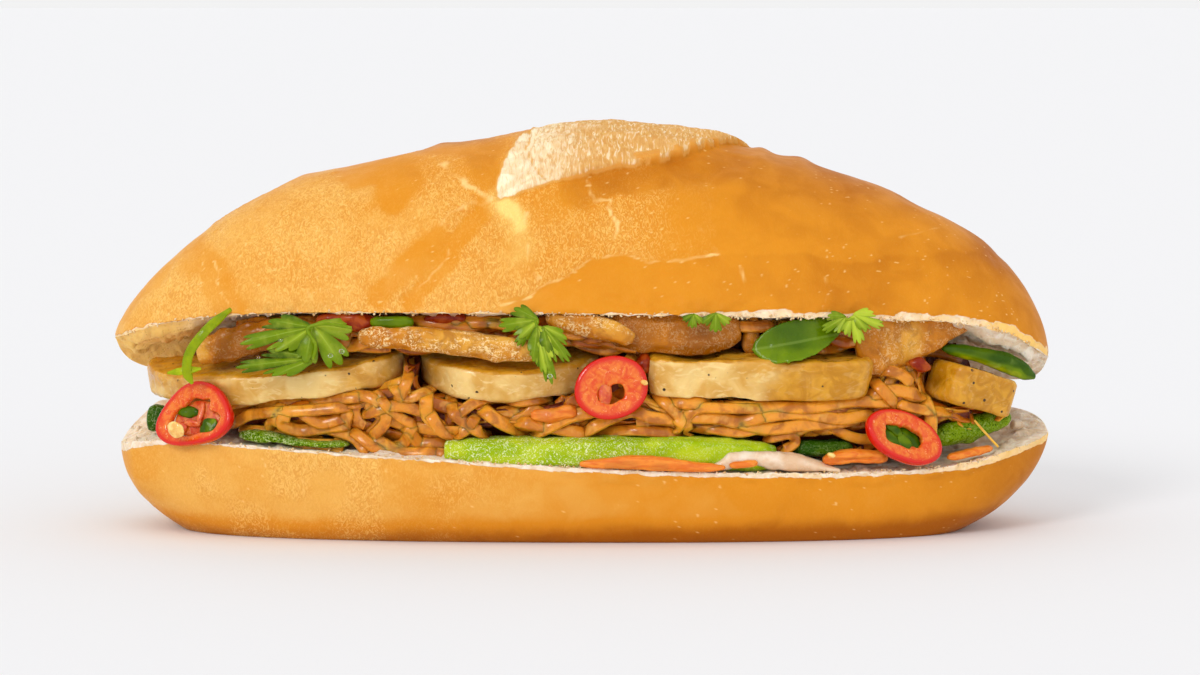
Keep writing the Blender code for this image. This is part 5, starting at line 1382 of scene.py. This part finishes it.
def crumb_tree():
    """Geometry nodes that put a rough crumb on every point of a wire, turned and sized by chance."""
    tree = bpy.data.node_groups.new("crumbs_on_points", "GeometryNodeTree")
    socket(tree, "Geometry", "NodeSocketGeometry")
    tree.interface.new_socket(name="Geometry", in_out="OUTPUT", socket_type="NodeSocketGeometry")
    socket(tree, "Size", "NodeSocketFloat", 0.0005)
    socket(tree, "Roughness", "NodeSocketFloat", 0.0002)
    socket(tree, "Seed", "NodeSocketInt", 1)
    socket(tree, "Material", "NodeSocketMaterial")
    given = put(tree, "NodeGroupInput").outputs
    ball = put(tree, "GeometryNodeMeshIcoSphere", {"Radius": given["Size"], "Subdivisions": 2}).outputs["Mesh"]
    turn = put(tree, "FunctionNodeRandomValue", {0: (0.0, 0.0, 0.0), 1: (6.28, 6.28, 6.28), "Seed": given["Seed"]}, data_type="FLOAT_VECTOR").outputs[0]
    size = put(tree, "FunctionNodeRandomValue", {0: (0.5, 0.4, 0.3), 1: (1.7, 1.2, 1.0), "Seed": given["Seed"]}, data_type="FLOAT_VECTOR").outputs[0]
    values = {"Points": given["Geometry"], "Instance": ball, "Rotation": turn, "Scale": size}
    made = put(tree, "GeometryNodeInstanceOnPoints", values).outputs["Instances"]
    made = put(tree, "GeometryNodeRealizeInstances", {"Geometry": made}).outputs["Geometry"]
    place = put(tree, "GeometryNodeInputPosition").outputs["Position"]
    bumps = put(tree, "ShaderNodeTexNoise", {"Vector": place, "Scale": 1900.0, "Detail": 1.0}).outputs["Color"]
    centred = put(tree, "ShaderNodeVectorMath", {0: bumps, 1: (0.5, 0.5, 0.5)}, operation="SUBTRACT").outputs["Vector"]
    push = put(tree, "ShaderNodeVectorMath", {0: centred, "Scale": given["Roughness"]}, operation="SCALE").outputs["Vector"]
    made = put(tree, "GeometryNodeSetPosition", {"Geometry": made, "Offset": push}).outputs["Geometry"]
    made = put(tree, "GeometryNodeSetShadeSmooth", {"Geometry": made}).outputs["Geometry"]
    made = put(tree, "GeometryNodeSetMaterial", {"Geometry": made, "Material": given["Material"]}).outputs["Geometry"]
    put(tree, "NodeGroupOutput", {"Geometry": made})
    return tree


crumb_finish, tree, shader = finish_for(
    "bread_crumb", Subsurface_Weight=0.4, Subsurface_Radius=(1.0, 0.7, 0.5), Subsurface_Scale=0.001, Specular_IOR_Level=0.3,
)
dough = mixed(tree, between(tree, cloudy(tree, 1.6, 2.0), 0.35, 0.65), tint(236, 210, 170), tint(214, 166, 108))
tree.links.new(dough, shader.inputs["Base Color"])
tree.links.new(between(tree, cloudy(tree, 0.6), 0.3, 0.7, 0.75, 0.95), shader.inputs["Roughness"])
crumbs_on_points = crumb_tree()


def crumbs(name, places, size, seed):
    mesh = bpy.data.meshes.new(name)
    mesh.from_pydata([tuple((np.array(p) + (0.0, SHIFT_Y, 0.0)) * MM) for p in places], [], [])
    obj = bpy.data.objects.new(name, mesh)
    bpy.context.scene.collection.objects.link(obj)
    drawn(obj, crumbs_on_points, Size=size * MM, Roughness=size * 1.1 * MM, Seed=seed, Material=crumb_finish)
    placed(obj, crumb_finish, "bread_crust")


lower_places, upper_places = [], []
for _ in range(320):
    at = dice.uniform(-104.0, 106.0)
    front, lip = (float(v) for v in lower_front(np.array(at)))
    lower_places.append((at, front + dice.uniform(-0.15, 1.6), lip + dice.uniform(-0.25, 0.3)))
for _ in range(340):
    at = 104.0 - 210.0 * dice.uniform() ** 1.5
    front, lip = (float(v) for v in upper_front(np.array(at)))
    upper_places.append((at, front + dice.uniform(-0.1, 1.0), lip + dice.uniform(-0.5, 0.5)))
crumbs("crumbs_on_lower_lip", lower_places, 0.27, 3)
crumbs("crumbs_on_upper_lip", upper_places, 0.28, 4)


# ==== Studio =======================================================================
# A pale floor, a bright even room, one large soft lamp at the upper left and a weaker one
# at the right. The camera stands a little above the sandwich and looks at its open side.

floor_mesh = bpy.data.meshes.new("floor")
floor_mesh.from_pydata([(-120.0, -120.0, 0.0), (120.0, -120.0, 0.0), (120.0, 120.0, 0.0), (-120.0, 120.0, 0.0)], [], [(0, 1, 2, 3)])
floor = bpy.data.objects.new("floor", floor_mesh)
bpy.context.scene.collection.objects.link(floor)
floor_finish, tree, shader = finish_for("pale_floor", Roughness=0.9, Specular_IOR_Level=0.1)
shader.inputs["Base Color"].default_value = (0.86, 0.86, 0.875, 1.0)
floor.data.materials.append(floor_finish)
floor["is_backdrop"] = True

room = bpy.data.worlds.new("room")
room.use_nodes = True
room.node_tree.nodes["Background"].inputs["Color"].default_value = (1.0, 1.0, 1.0, 1.0)
room.node_tree.nodes["Background"].inputs["Strength"].default_value = 0.89
bpy.context.scene.world = room


def soft_sun(name, came_from, spread, strength):
    """An even lamp that is far off, so the whole floor gets the same light."""
    light = bpy.data.lights.new(name, "SUN")
    light.angle, light.energy = math.radians(spread), strength
    lamp = bpy.data.objects.new(name, light)
    bpy.context.scene.collection.objects.link(lamp)
    lamp.rotation_mode = "QUATERNION"
    lamp.rotation_quaternion = (-Vector(came_from)).to_track_quat("-Z", "Y")


soft_sun("key_lamp", (-0.55, -0.95, 0.60), 18.0, 0.95)
soft_sun("fill_lamp", (0.5, -1.0, 0.22), 60.0, 0.35)

camera_data = bpy.data.cameras.new("camera")
camera_data.lens, camera_data.sensor_width = 114.4, 36.0
camera_data.clip_start, camera_data.clip_end = 0.05, 400.0
camera = bpy.data.objects.new("camera", camera_data)
bpy.context.scene.collection.objects.link(camera)
camera.location = (0.00425, -0.8986, 0.1226)
camera.rotation_mode = "QUATERNION"
camera.rotation_quaternion = (Vector((0.00425, -0.002, 0.0442)) - camera.location).to_track_quat("-Z", "Y")
bpy.context.scene.camera = camera
bpy.context.scene.view_settings.view_transform = "Standard"

boxes = {"cad": packed_box, "visual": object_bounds()}
{name: [list(corner) for corner in box] for name, box in boxes.items()}
